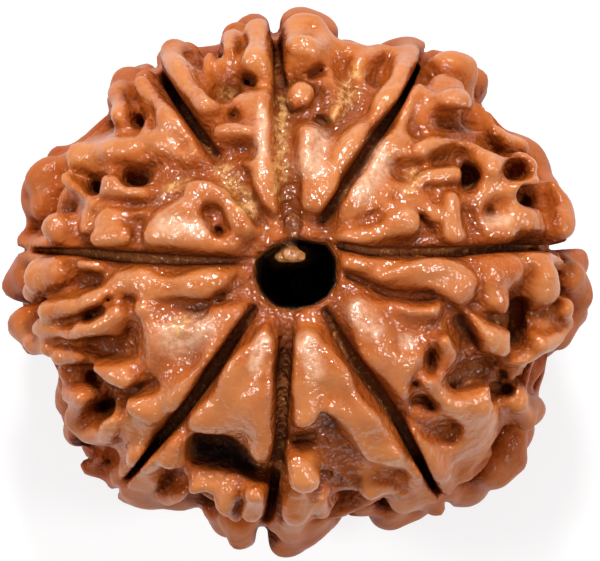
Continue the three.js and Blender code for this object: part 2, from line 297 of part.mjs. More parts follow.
// Pits: [height of the floor, [[x, y, radius], ...]]
const PITS = [
    [-0.6, [[0.85, 7.35, 0.14], [1.2, 7.2, 0.18]]],
    [-0.2, [[0.5, 9.35, 0.12], [1.0, 9.6, 0.14]]],
    [-0.1, [[8.7, 3.1, 0.15]]],
    [-2.0, [[7.75, 5.0, 0.24], [7.9, 4.6, 0.32], [7.75, 4.3, 0.2]]],
    [-1.8, [[10.3, 3.75, 0.3], [10.75, 3.7, 0.26]]],
    [-1.6, [[7.95, 7.4, 0.24]]],
    [-0.3, [[2.2, 0.15, 0.1], [3.1, -0.25, 0.12], [4.0, -0.7, 0.14], [5.2, -0.88, 0.15], [5.9, -0.85, 0.12]]],
    [-2.0, [[10.1, -1.3, 0.34], [10.15, -2.2, 0.4], [10.0, -2.9, 0.34]]],
    [0.2, [[12.4, -0.4, 0.15]]],
    [-0.3, [[6.0, -3.4, 0.08], [6.05, -4.1, 0.1]]],
    [0.1, [[5.25, -4.8, 0.14]]],
    [-0.9, [[5.3, -5.6, 0.1], [5.7, -5.55, 0.14], [6.05, -5.9, 0.12]]],
    [-1.1, [[9.1, -5.15, 0.22], [9.7, -5.2, 0.16]]],
    [-0.9, [[9.4, -4.5, 0.2]]],
    [-2.4, [[-4.5, -7.7, 0.44], [-3.6, -7.9, 0.58], [-2.9, -8.3, 0.45], [-2.2, -8.85, 0.2], [-1.3, -8.95, 0.18]]],
    [-1.8, [[-4.7, -8.2, 0.3], [-3.2, -8.5, 0.3]]],
    [-0.3, [[-6.7, -4.85, 0.11], [-7.4, -5.1, 0.1]]],
    [-2.0, [[-9.3, -6.15, 0.3], [-8.8, -5.9, 0.32]]],
    [-1.2, [[-9.7, -4.6, 0.22], [-9.4, -4.8, 0.16]]],
    [-0.8, [[-9.6, -1.75, 0.1], [-9.0, -1.42, 0.1]]],
    [0.0, [[-8.65, -0.95, 0.12]]],
    [-0.1, [[-3.6, -0.9, 0.14]]],
    [0.3, [[-3.65, 2.15, 0.11]]],
    [-1.9, [[-7.7, 4.6, 0.32], [-7.3, 4.6, 0.28]]],
    [-1.5, [[-9.4, 4.25, 0.22]]],
    [-1.4, [[-7.5, 7.45, 0.16], [-7.45, 7.15, 0.16]]],
    [-1.2, [[-2.5, 9.2, 0.13], [-2.1, 9.0, 0.14]]],
    [-0.6, [[-2.9, 8.9, 0.12], [-3.3, 8.6, 0.14]]],
    [-0.1, [[-3.0, 7.45, 0.14]]],
];
// The channel of the hole: [height, sideways shift x, y, share of the rim's width]
const CHANNEL = [
  [-11.5, 0.0, 0.0, 1.0],
  [-7.0, 0.0, 0.0, 0.9],
  [-3.0, -0.5, 0.4, 0.44],
  [2.0, 0.4, -0.6, 0.44],
  [6.0, 0.0, 0.0, 0.92],
  [11.5, 0.0, 0.0, 1.04],
];
// Crumbs of pith in the mouth of the hole: [[x, y, z, radius], ...]
const PITH = [
  [[-0.5, 2.3, 3.4, 0.4], [-0.5, 1.5, 3.9, 0.35], [-0.45, 1.0, 4.3, 0.36]],
  [[-0.85, 0.95, 4.4, 0.27], [-0.45, 1.0, 4.5, 0.36], [0.0, 0.95, 4.4, 0.27]],
];
// The lobe of the underside that repeats each lobe of the top
const UNDER_LOBES = [4, 5, 6, 7, 3, 2, 1, 0];


const { cos, sin, hypot, atan2, sqrt, abs, min, max, round, floor, ceil, PI } = Math;
const FIRST = [-14.4, -13.5, -11.2];
const LAST = [14.4, 13.5, 11.2];
const COUNT = FIRST.map((low, i) => ceil((LAST[i] - low) / GRID) + 1);
const ACROSS = COUNT[1] * COUNT[2];
const TOTAL = COUNT[0] * ACROSS;

const place = (axis, index) => FIRST[axis] + GRID * index;
const clamp = (value, low, high) => min(max(value, low), high);
const ease = (share) => share * share * (3 - 2 * share);

function draw(seed) {
  const value = sin(seed * 127.1 + 3.7) * 43758.5453;
  return value - floor(value);
}

function ellipseRadius(angle) {
  return (RADIUS_X * RADIUS_Y) / hypot(RADIUS_Y * cos(angle), RADIUS_X * sin(angle));
}

// A place on the ground, or above it by the rise: over the point x, y of the top or the underside
function groundPlace(x, y, rise, side = 1) {
  const reach = ellipseRadius(atan2(y, x)) + rise;
  const u = min(hypot(x, y) / reach, 1);
  return [x, y, side * (HALF_HEIGHT + rise) * max(1 - u ** FULLNESS, 0) ** (1 / FULLNESS)];
}

// How much more the ridges stand out where the ground turns down towards the belt
function shoulder(x, y) {
  return SHOULDER * ease(clamp((hypot(x, y) / ellipseRadius(atan2(y, x)) - 0.75) / 0.25, 0, 1));
}

// A place on the belt, or above it by the rise, at an angle round the hole and a height
function beltPlace(angle, z, rise) {
  const u = min(abs(z) / (HALF_HEIGHT + rise), 1);
  const rho = (ellipseRadius(angle) + rise) * max(1 - u ** FULLNESS, 0) ** (1 / FULLNESS);
  return [rho * cos(angle), rho * sin(angle), z];
}

function groundNormal([x, y, z]) {
  const u = hypot(x / RADIUS_X, y / RADIUS_Y) + 1e-9;
  const v = abs(z) / HALF_HEIGHT + 1e-9;
  const way = [
    (x / RADIUS_X ** 2) * u ** (FULLNESS - 2),
    (y / RADIUS_Y ** 2) * u ** (FULLNESS - 2),
    (Math.sign(z) * v ** (FULLNESS - 1)) / HALF_HEIGHT,
  ];
  return unit(way);
}

function unit(way) {
  const size = hypot(...way);
  return way.map((part) => part / size);
}

function join(a, b, k) {
  const h = clamp(0.5 + (0.5 * (b - a)) / k, 0, 1);
  return b * (1 - h) + a * h - k * h * (1 - h);
}

function cut(a, b, k) {
  return -join(-a, b, k);
}

// The distance field of the stone, negative inside, on a grid of points
const height = new Float32Array(TOTAL);
const normal = [new Float32Array(TOTAL), new Float32Array(TOTAL), new Float32Array(TOTAL)];
const field = new Float32Array(TOTAL);

function fillGround() {
  const level = new Float32Array(TOTAL);
  for (let i = 0; i < COUNT[0]; i++) {
    for (let j = 0; j < COUNT[1]; j++) {
      const x = place(0, i);
      const y = place(1, j);
      const flat = (hypot(x, y) / ellipseRadius(atan2(y, x))) ** FULLNESS;
      for (let k = 0; k < COUNT[2]; k++) {
        const upright = (abs(place(2, k)) / HALF_HEIGHT) ** FULLNESS;
        level[i * ACROSS + j * COUNT[2] + k] = (flat + upright) ** (1 / FULLNESS);
      }
    }
  }
  const steps = [ACROSS, COUNT[2], 1];
  for (let i = 0; i < COUNT[0]; i++) {
    for (let j = 0; j < COUNT[1]; j++) {
      for (let k = 0; k < COUNT[2]; k++) {
        const at = i * ACROSS + j * COUNT[2] + k;
        const slope = [i, j, k].map((index, axis) => {
          const before = index > 0 ? 1 : 0;
          const after = index < COUNT[axis] - 1 ? 1 : 0;
          const rise = level[at + after * steps[axis]] - level[at - before * steps[axis]];
          return rise / ((before + after) * GRID);
        });
        const size = hypot(...slope) + 1e-6;
        height[at] = (level[at] - 1) / size;
        field[at] = height[at];
        for (let axis = 0; axis < 3; axis++) {
          normal[axis][at] = slope[axis] / size;
        }
      }
    }
  }
}

// Runs a change over the grid points in a box round the given places
function change(places, margin, work) {
  const first = [];
  const last = [];
  for (let axis = 0; axis < 3; axis++) {
    const values = places.map((p) => p[axis]);
    first.push(max(floor((min(...values) - margin - FIRST[axis]) / GRID), 0));
    last.push(min(ceil((max(...values) + margin - FIRST[axis]) / GRID), COUNT[axis] - 1));
  }
  for (let i = first[0]; i <= last[0]; i++) {
    for (let j = first[1]; j <= last[1]; j++) {
      for (let k = first[2]; k <= last[2]; k++) {
        const at = i * ACROSS + j * COUNT[2] + k;
        field[at] = work(at, place(0, i), place(1, j), place(2, k));
      }
    }
  }
}

const CORNERS = [FIRST, LAST];

// The distance to a round stroke through the centres. A ridge has flanks that spread downwards,
// a well has walls that spread outwards, and a rod is free on all sides
function strokeDistance(centres, radii, form, flare, way, at, x, y, z) {
  const [nx, ny, nz] = way || normal.map((part) => part[at]);
  let best = Infinity;
  for (let i = 0; i < max(centres.length - 1, 1); i++) {
    const a = centres[i];
    const b = centres[min(i + 1, centres.length - 1)];
    const from = [x - a[0], y - a[1], z - a[2]];
    const line = [b[0] - a[0], b[1] - a[1], b[2] - a[2]];
    const length = line[0] ** 2 + line[1] ** 2 + line[2] ** 2;
    const along = form === "well" ? line[0] * nx + line[1] * ny + line[2] * nz : 0;
    const out = from[0] * nx + from[1] * ny + from[2] * nz;
    let t = 0;
    if (length > 1e-9) {
      const dot = from[0] * line[0] + from[1] * line[1] + from[2] * line[2] - out * along;
      t = clamp(dot / max(length - along * along, 1e-9), 0, 1);
    }
    const v = [from[0] - t * line[0], from[1] - t * line[1], from[2] - t * line[2]];
    const r = radii[i] + t * (radii[min(i + 1, radii.length - 1)] - radii[i]);
    const square = v[0] ** 2 + v[1] ** 2 + v[2] ** 2;
    let d = sqrt(square) - r;
    if (form !== "rod") {
      const open = (form === "well" ? 1 : -1) * (v[0] * nx + v[1] * ny + v[2] * nz);
      d = sqrt(max(square - open * open, 0) + min(open, 0) ** 2) - r - flare * clamp(open, 0, 1.5);
    }
    best = min(best, d);
  }
  return best;
}

function addStroke(centres, radii, form, k, flare = 0) {
  change(centres, max(...radii) + 0.6 + k + 1.2 * flare, (at, x, y, z) =>
    join(field[at], strokeDistance(centres, radii, form, flare, null, at, x, y, z), k),
  );
}

// The rim: short winding ridges round the belt, whose knobs make the outline
function addRim(knobs, k) {
  knobs.forEach(([x, y, r], i) => {
    const angle = atan2(y, x);
    const crest = hypot(x, y) + r - ellipseRadius(angle);
    const middle = 0.9 * sin(2.4 * i);
    const half = 0.3 + 1.1 * draw(i + 0.1);
    const drift = (1.4 * (draw(i + 0.2) - 0.5)) / hypot(x, y);
    const rise = 0.8 * crest - 0.85 * r;
    const centres = [
      beltPlace(angle - drift, middle - half, rise),
      [x, y, middle],
      beltPlace(angle + drift, middle + half, rise),
    ];
    addStroke(centres, [0.85 * r, r, 0.85 * r], "ridge", k);
  });
}

function addRidges(features, form, k, side, flare = 0) {
  for (const [lift, points] of features) {
    const centres = points.map(([x, y, r]) => groundPlace(x, y, lift - r + shoulder(x, y), side));
    addStroke(centres, points.map((p) => p[2]), form, k, flare);
  }
}

function cutWells(features, k, side, flare) {
  for (const [level, points] of features) {
    const rises = points.map(([x, y]) => MOUTH + shoulder(x, y));
    const tops = points.map(([x, y], i) => groundPlace(x, y, rises[i], side));
    const middle = [0, 1, 2].map((axis) => tops.reduce((sum, p) => sum + p[axis], 0) / tops.length);
    const lean = groundNormal(middle);
    lean[2] += 4 * side;
    const way = unit(lean);
    const radii = points.map((p) => p[2]);
    const centres = tops.map((top, i) => top.map((value, axis) => value + way[axis] * (level - rises[i] + radii[i])));
    const mouths = centres.map((centre) => centre.map((value, axis) => value + way[axis] * 3));
    change([...centres, ...mouths], max(...radii) + k + 0.2 + 1.5 * flare, (at, x, y, z) =>
      cut(field[at], strokeDistance(centres, radii, "well", flare, way, at, x, y, z), k),
    );
  }
}

function polygonDistance(x, y, outline) {
  let inside = false;
  let best = Infinity;
  outline.forEach(([ax, ay], i) => {
    const [bx, by] = outline[(i + 1) % outline.length];
    const t = clamp(((x - ax) * (bx - ax) + (y - ay) * (by - ay)) / ((bx - ax) ** 2 + (by - ay) ** 2), 0, 1);
    best = min(best, hypot(x - ax - t * (bx - ax), y - ay - t * (by - ay)));
    if (ay > y !== by > y && x < ((bx - ax) * (y - ay)) / (by - ay) + ax) {
      inside = !inside;
    }
  });
  return inside ? -best : best;
}

function addPlates(plates, k, side) {
  for (const [lift, edge, outline] of plates) {
    const places = outline.map(([x, y]) => groundPlace(x, y, lift, side));
    const known = new Map();
    change(places, 1.6, (at, x, y) => {
      const column = floor(at / COUNT[2]);
      if (!known.has(column)) {
        known.set(column, polygonDistance(x, y, outline));
      }
      const b = height[at] - lift + edge;
      const a = known.get(column) + edge + 0.5 * clamp(b, -1.5, 0);
      return join(field[at], min(max(a, b), 0) + hypot(max(a, 0), max(b, 0)) - edge, k);
    });
  }
}

function sumOfWaves(count, shortest, longest, seed) {
  const waves = [];
  for (let i = 0; i < count; i++) {
    const lean = Math.acos(2 * draw(seed + i + 0.3) - 1);
    const turn = 2 * PI * draw(seed + i + 0.4);
    const size = (2 * PI) / (shortest + (longest - shortest) * draw(seed + i + 0.5));
    waves.push([
      size * sin(lean) * cos(turn),
      size * sin(lean) * sin(turn),
      size * cos(lean),
      6.28 * draw(seed + i + 0.6),
    ]);
  }
  return (x, y, z) => waves.reduce((sum, [a, b, c, start]) => sum + sin(a * x + b * y + c * z + start), 0) / sqrt(count / 2);
}

// The seams: the shallow bottoms of the grooves round the belt
function addSeams(grooves, k) {
  for (const line of grooves) {
    const [x, y, , bottom] = line[line.length - 2];
    const centres = [-6, -3, 0, 3, 6].map((z) => beltPlace(atan2(y, x), z, bottom + 0.3 - 0.9 - 0.06 * abs(z)));
    addStroke(centres, [0.9, 0.9, 0.9, 0.9, 0.9], "ridge", k);
  }
}

// The raised net of the belt, which fades out towards the two ends of the hole
function addNet(crest, depth) {
  const waves = sumOfWaves(14, 3.2, 5.2, 20);
  change(CORNERS, 0, (at, x, y, z) => {
    const weight = 1 - ease(clamp((abs(z) / HALF_HEIGHT - 0.5) / 0.32, 0, 1));
    if (weight === 0 || abs(height[at]) > 3) {
      return field[at];
    }
    const lift = crest - (crest + depth) * ease(clamp((abs(waves(x, y, z)) - 0.3) / 0.9, 0, 1));
    return field[at] - lift * weight;
  });
}

function addLumps(amount) {
  const waves = sumOfWaves(9, 1.7, 3.3, 0);
  change(CORNERS, 0, (at, x, y, z) => (abs(height[at]) > 3 ? field[at] : field[at] + amount * waves(x, y, z)));
}

function cutGrooves(grooves, k) {
  for (const line of grooves) {
    const known = new Map();
    change(CORNERS, 0, (at, x, y) => {
      const column = floor(at / COUNT[2]);
      if (!known.has(column)) {
        const [across, half, bottom] = grooveSection(x, y, line);
        const reach = hypot(x, y) - ellipseRadius(atan2(y, x));
        known.set(column, [across, half, max(bottom, min(reach + 0.12, line[line.length - 1][3]))]);
      }
      const [across, half, bottom] = known.get(column);
      if (across > half + 2) {
        return field[at];
      }
      const below = min(height[at] - bottom - half, 0);
      return cut(field[at], hypot(across, below) - half, k);
    });
  }
}

function grooveSection(x, y, line) {
  let found = [Infinity, 0, 0];
  for (let i = 0; i < line.length - 1; i++) {
    const [ax, ay, ha, fa] = line[i];
    const [bx, by, hb, fb] = line[i + 1];
    const t = clamp(((x - ax) * (bx - ax) + (y - ay) * (by - ay)) / ((bx - ax) ** 2 + (by - ay) ** 2), 0, 1);
    const d = hypot(x - ax - t * (bx - ax), y - ay - t * (by - ay));
    if (d < found[0]) {
      found = [d, ha + t * (hb - ha), fa + t * (fb - fa)];
    }
  }
  return found;
}

function between(rows, z) {
  const next = rows.findIndex((row) => row[0] > z);
  const [a, b] = [rows[next - 1], rows[next]];
  const t = (z - a[0]) / (b[0] - a[0]);
  return [1, 2, 3].map((i) => a[i] + t * (b[i] - a[i]));
}

function cutHole(rim, channel, k) {
  const middle = [0, 1].map((axis) => rim.reduce((sum, p) => sum + p[axis], 0) / rim.length);
  const outlines = new Map();
  change([[-3.6, -3.2, -11], [3.4, 3.6, 11]], 0, (at, x, y, z) => {
    if (!outlines.has(z)) {
      const [cx, cy, share] = between(channel, z);
      const outline = rim.map((p) => [
        (p[0] - middle[0]) * share + middle[0] + cx,
        (p[1] - middle[1]) * share + middle[1] + cy,
      ]);
      outlines.set(z, outline);
    }
    return cut(field[at], polygonDistance(x, y, outlines.get(z)), k);
  });
}

function addPith(strands, k) {
  for (const strand of strands) {
    addStroke(strand.map((p) => p.slice(0, 3)), strand.map((p) => p[3]), "rod", k);
  }
}

function restOnFlats(bottom) {
  change(CORNERS, 0, (at, x, y, z) => max(field[at], bottom - z));
}

const turnOf = (angle) => ((angle % (2 * PI)) + 2 * PI) % (2 * PI);

// The angle of a groove at a distance from the middle of the hole
function grooveAngle(index, reach) {
  const line = GROOVES[index % 8];
  const rows = line.map(([x, y]) => [hypot(x, y), atan2(y, x)]);
  for (let i = 1; i < rows.length; i++) {
    rows[i][1] = rows[i - 1][1] + turnOf(rows[i][1] - rows[i - 1][1] + PI) - PI;
  }
  if (reach <= rows[0][0]) {
    return rows[0][1];
  }
  for (let i = 1; i < rows.length; i++) {
    if (reach <= rows[i][0]) {
      const t = (reach - rows[i - 1][0]) / (rows[i][0] - rows[i - 1][0]);
      return rows[i - 1][1] + t * (rows[i][1] - rows[i - 1][1]);
    }
  }
  return rows[rows.length - 1][1];
}

function lobeSpan(index, reach) {
  const start = grooveAngle(index, reach);
  return [start, turnOf(start - grooveAngle(index + 1, reach))];
}

function rimReach(angle) {
  let best = 0;
  for (const [x, y, r] of RIM_KNOBS) {
    const along = x * cos(angle) + y * sin(angle);
    const off = abs(y * cos(angle) - x * sin(angle));
    if (along > 0 && off < r) {
      best = max(best, along + sqrt(r * r - off * off));
    }
  }
  return best;
}

// The place on the underside that repeats a place of the top, in another lobe
function underPoint(x, y, r = 0) {
  const theta = atan2(y, x);
  let reach = hypot(x, y);
  let lobe = 7;
  for (let index = 7; index >= 0; index--) {
    const [start, span] = lobeSpan(index, reach);
    if (turnOf(start - theta) <= span) {
      lobe = index;
    }
  }
  const [start, span] = lobeSpan(lobe, reach);
  const [other, width] = lobeSpan(UNDER_LOBES[lobe], reach);
  const angle = other - (turnOf(start - theta) / span) * width;
  const scale = min(1.1, (width / span) ** 0.5);
  reach = min((reach * ellipseRadius(angle)) / ellipseRadius(theta), rimReach(angle) - r * scale - 0.25);
  return [reach * cos(angle), reach * sin(angle), scale];
}

function turnedUnder(features) {
  return features.map((feature) => {
    const points = feature[feature.length - 1].map((point) => {
      const [x, y, scale] = underPoint(...point);
      return [x, y, ...point.slice(2).map((r) => r * scale)];
    });
    return [...feature.slice(0, -1), points];
  });
}

function buildField() {
  const sides = [
    [1, PLATES, RIDGES, HOLLOWS, RODS, PITS],
    [-1, ...[PLATES, RIDGES, HOLLOWS, RODS, PITS].map(turnedUnder)],
  ];
  fillGround();
  addNet(0.35, 1.3);
  addSeams(GROOVES, 0.5);
  addRim(RIM_KNOBS, 0.5);
  for (const [side, plates, ridges, hollows] of sides) {
    addPlates(plates, 0.4, side);
    addRidges(ridges, "ridge", 0.4, side, 0.5);
    cutWells(hollows, 0.5, side, 0.25);
  }
  addLumps(0.11);
  cutGrooves(GROOVES, 0.25);
  for (const [side, , , , rods, pits] of sides) {
    addRidges(rods, "rod", 0.3, side);
    cutWells(pits, 0.3, side, 0.15);
  }
  cutHole(HOLE_RIM, CHANNEL, 0.5);
  addPith(PITH, 0.2);
  restOnFlats(REST_HEIGHT);
}

// The six corner tetrahedra of a grid cell; every neighbour cell is split the same way
const TETRAHEDRA = [[0, 1, 3, 7], [0, 3, 2, 7], [0, 2, 6, 7], [0, 6, 4, 7], [0, 4, 5, 7], [0, 5, 1, 7]];

// The closed surface where the field is zero
function surface() {
  const steps = [ACROSS, COUNT[2], 1];
  const corners = [0, 1, 2, 3, 4, 5, 6, 7].map((c) => (c & 1) * steps[0] + ((c >> 1) & 1) * steps[1] + (c >> 2) * steps[2]);
  const points = [];
  const triangles = [];
  const known = new Map();
  const spot = (at) => [floor(at / ACROSS), floor((at % ACROSS) / COUNT[2]), at % COUNT[2]].map((index, axis) => place(axis, index));
  const crossing = (a, b) => {
    const [low, high] = a < b ? [a, b] : [b, a];
    const key = low * TOTAL + high;
    if (!known.has(key)) {
      const t = clamp(field[low] / (field[low] - field[high]), 0.04, 0.96);
      const from = spot(low);
      const to = spot(high);
      known.set(key, points.length / 3);
      points.push(...from.map((value, axis) => value + t * (to[axis] - value)));
    }
    return known.get(key);
  };
  const face = (a, b, c, inner, outer) => {
    const at = (index) => points.slice(3 * index, 3 * index + 3);
    const [p, q, r] = [at(a), at(b), at(c)];
    const u = q.map((value, axis) => value - p[axis]);
    const v = r.map((value, axis) => value - p[axis]);
    const from = spot(inner);
    const away = spot(outer).map((value, axis) => value - from[axis]);
    const turn = (u[1] * v[2] - u[2] * v[1]) * away[0] + (u[2] * v[0] - u[0] * v[2]) * away[1] + (u[0] * v[1] - u[1] * v[0]) * away[2];
    triangles.push(...(turn > 0 ? [a, b, c] : [a, c, b]));
  };
  for (let i = 0; i < COUNT[0] - 1; i++) {
    for (let j = 0; j < COUNT[1] - 1; j++) {
      for (let k = 0; k < COUNT[2] - 1; k++) {
        const base = i * ACROSS + j * COUNT[2] + k;
        let under = 0;
        for (const corner of corners) {
          under += field[base + corner] < 0 ? 1 : 0;
        }
        if (under === 0 || under === 8) {
          continue;
        }
        for (const four of TETRAHEDRA) {
          const ids = four.map((c) => base + corners[c]);
          const inner = ids.filter((id) => field[id] < 0);
          const outer = ids.filter((id) => field[id] >= 0);
          if (inner.length === 1) {
            face(...outer.map((id) => crossing(inner[0], id)), inner[0], outer[0]);
          } else if (inner.length === 3) {
            face(...inner.map((id) => crossing(id, outer[0])), inner[0], outer[0]);
          } else if (inner.length === 2) {
            const [p, q] = inner;
            const [r, s] = outer;
            const ring = [crossing(p, r), crossing(p, s), crossing(q, s), crossing(q, r)];
            face(ring[0], ring[1], ring[2], p, r);
            face(ring[0], ring[2], ring[3], p, r);
          }
        }
      }
    }
  }
  return [points, triangles];
}

// A heap that gives back the cheapest entry first
function makeHeap() {
  const items = [];
  const swap = (a, b) => {
    [items[a], items[b]] = [items[b], items[a]];
  };
  const push = (item) => {
    items.push(item);
    let i = items.length - 1;
    while (i > 0 && items[i].cost < items[(i - 1) >> 1].cost) {
      swap(i, (i - 1) >> 1);
      i = (i - 1) >> 1;
    }
  };
  const pop = () => {
    const best = items[0];
    const last = items.pop();
    if (items.length > 0) {
      items[0] = last;
      let i = 0;
      for (;;) {
        let low = i;
        for (const child of [2 * i + 1, 2 * i + 2]) {
          if (child < items.length && items[child].cost < items[low].cost) {
            low = child;
          }
        }
        if (low === i) {
          break;
        }
        swap(i, low);
        i = low;
      }
    }
    return best;
  };
  return { push, pop, size: () => items.length };
}

function crossOf(p, q, r) {
  const u = [q[0] - p[0], q[1] - p[1], q[2] - p[2]];
  const v = [r[0] - p[0], r[1] - p[1], r[2] - p[2]];
  return [u[1] * v[2] - u[2] * v[1], u[2] * v[0] - u[0] * v[2], u[0] * v[1] - u[1] * v[0]];
}

// The sum of squared distances to the planes in a quadric, and the place where it is least
function lossAt(q, [x, y, z]) {
  const square = q[0] * x * x + q[4] * y * y + q[7] * z * z + q[9];
  return square + 2 * (q[1] * x * y + q[2] * x * z + q[3] * x + q[5] * y * z + q[6] * y + q[8] * z);
}

function leastPlace(q, from, to) {
  const middle = from.map((value, axis) => (value + to[axis]) / 2);
  const [a, b, c, d, e, f, g, h, i] = q;
  const whole = a * (e * h - f * f) - b * (b * h - f * c) + c * (b * f - e * c);
  const [da, db, dc] = [-d, -g, -i];
  if (abs(whole) < 1e-6) {
    return middle;
  }
  const x = (da * (e * h - f * f) - b * (db * h - f * dc) + c * (db * f - e * dc)) / whole;
  const y = (a * (db * h - f * dc) - da * (b * h - f * c) + c * (b * dc - db * c)) / whole;
  const z = (a * (e * dc - db * f) - b * (b * dc - db * c) + da * (b * f - e * c)) / whole;
  const far = hypot(x - middle[0], y - middle[1], z - middle[2]);
  return far < hypot(...from.map((value, axis) => value - to[axis])) ? [x, y, z] : middle;
}

// Joins the two ends of the edges that matter least, and keeps the surface closed, until few triangles are left
function simplify(points, triangles, most) {
  const count = points.length / 3;
  const places = [];
  const losses = [];
  const around = [];
  for (let i = 0; i < count; i++) {
    places.push(points.slice(3 * i, 3 * i + 3));
    losses.push(new Float64Array(10));
    around.push(new Set());
  }
  const faces = [];
  for (let i = 0; i < triangles.length; i += 3) {
    const face = triangles.slice(i, i + 3);
    const [p, q, r] = face.map((corner) => places[corner]);
    const cross = crossOf(p, q, r);
    const area = hypot(...cross) / 2;
    const [a, b, c] = cross.map((part) => part / (2 * area));
    const d = -(a * p[0] + b * p[1] + c * p[2]);
    const plane = [a * a, a * b, a * c, a * d, b * b, b * c, b * d, c * c, c * d, d * d];
    for (const corner of face) {
      around[corner].add(faces.length);
      plane.forEach((value, part) => {
        losses[corner][part] += value * area;
      });
    }
    faces.push(face);
  }
  const stamps = new Int32Array(count);
  const heap = makeHeap();
  const offer = (a, b) => {
    const loss = losses[a].map((value, part) => value + losses[b][part]);
    const spot = leastPlace(loss, places[a], places[b]);
    const length = hypot(...places[a].map((value, axis) => value - places[b][axis]));
    const cost = lossAt(loss, spot) + 1e-5 * length * length;
    heap.push({ cost, a, b, loss, spot, stampA: stamps[a], stampB: stamps[b] });
  };
  const neighbours = (corner) => {
    const found = new Set();
    for (const index of around[corner]) {
      faces[index].forEach((other) => found.add(other));
    }
    found.delete(corner);
    return found;
  };
  const turnsOver = (corner, other, spot) => {
    for (const index of around[corner]) {
      const face = faces[index];
      if (face.includes(other)) {
        continue;
      }
      const before = crossOf(...face.map((id) => places[id]));
      const after = crossOf(...face.map((id) => (id === corner ? spot : places[id])));
      const dot = before[0] * after[0] + before[1] * after[1] + before[2] * after[2];
      if (hypot(...after) < 1e-3 || dot < 0.3 * hypot(...before) * hypot(...after)) {
        return true;
      }
    }
    return false;
  };
  faces.forEach(([a, b, c]) => {
    for (const [from, to] of [[a, b], [b, c], [c, a]]) {
      if (from < to) {
        offer(from, to);
      }
    }
  });
  let left = faces.length;
  while (left > most && heap.size() > 0) {
    const { a, b, loss, spot, stampA, stampB } = heap.pop();
    if (stamps[a] !== stampA || stamps[b] !== stampB) {
      continue;
    }
    const near = neighbours(a);
    const shared = [...neighbours(b)].filter((corner) => near.has(corner));
    if (shared.length !== 2 || turnsOver(a, b, spot) || turnsOver(b, a, spot)) {
      continue;
    }
    for (const index of around[b]) {
      if (faces[index].includes(a)) {
        faces[index].forEach((corner) => corner !== b && around[corner].delete(index));
        faces[index] = null;
        left--;
      } else {
        faces[index] = faces[index].map((corner) => (corner === b ? a : corner));
        around[a].add(index);
      }
    }
    around[b].clear();
    places[a] = spot;
    losses[a] = loss;
    stamps[a]++;
    stamps[b]++;
    neighbours(a).forEach((corner) => offer(a, corner));
  }
  return [places, faces.filter((face) => face !== null)];
}

// Leaves out everything that isn't joined to the largest body
function largestBody(triangles, count) {
  const parent = Array.from({ length: count }, (unused, i) => i);
  const root = (i) => {
    while (parent[i] !== i) {
      parent[i] = parent[parent[i]];
      i = parent[i];
    }
    return i;
  };
  for (let i = 0; i < triangles.length; i += 3) {
    parent[root(triangles[i])] = root(triangles[i + 1]);
    parent[root(triangles[i + 1])] = root(triangles[i + 2]);
  }
  const sizes = new Map();
  for (let i = 0; i < triangles.length; i += 3) {
    const body = root(triangles[i]);
    sizes.set(body, (sizes.get(body) || 0) + 1);
  }
  const [largest] = [...sizes.entries()].sort((a, b) => b[1] - a[1])[0];
  return triangles.filter((unused, i) => root(triangles[i - (i % 3)]) === largest);
}

buildField();
const [points, triangles] = surface();
const [places, faces] = simplify(points, largestBody(triangles, points.length / 3), MOST_TRIANGLES);

const geometry = new THREE.BufferGeometry();
const used = [...new Set(faces.flat())];
const renumbered = new Map(used.map((index, i) => [index, i]));
const positions = used.flatMap((index) => {
  const [x, y, z] = places[index];
  return [x, y, z < REST_HEIGHT + 0.04 ? 0 : z - REST_HEIGHT];
});
geometry.setAttribute("position", new THREE.Float32BufferAttribute(positions, 3));
geometry.setIndex(faces.flat().map((index) => renumbered.get(index)));
geometry.computeVertexNormals();
geometry.computeBoundingBox();
const middle = geometry.boundingBox.getCenter(new THREE.Vector3());
geometry.translate(-middle.x, -middle.y, 0);

const stone = new THREE.Mesh(geometry, new THREE.MeshStandardMaterial({ color: 0xb4693e, roughness: 0.4 }));
stone.name = "rudraksha_stone";

const group = new THREE.Group();
group.name = "rudraksha_seed";
group.add(stone);

export default group;
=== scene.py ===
# A rudraksha seed: an eight-faced bead stone, seen straight down its hole on a pale floor.
import functools
import math

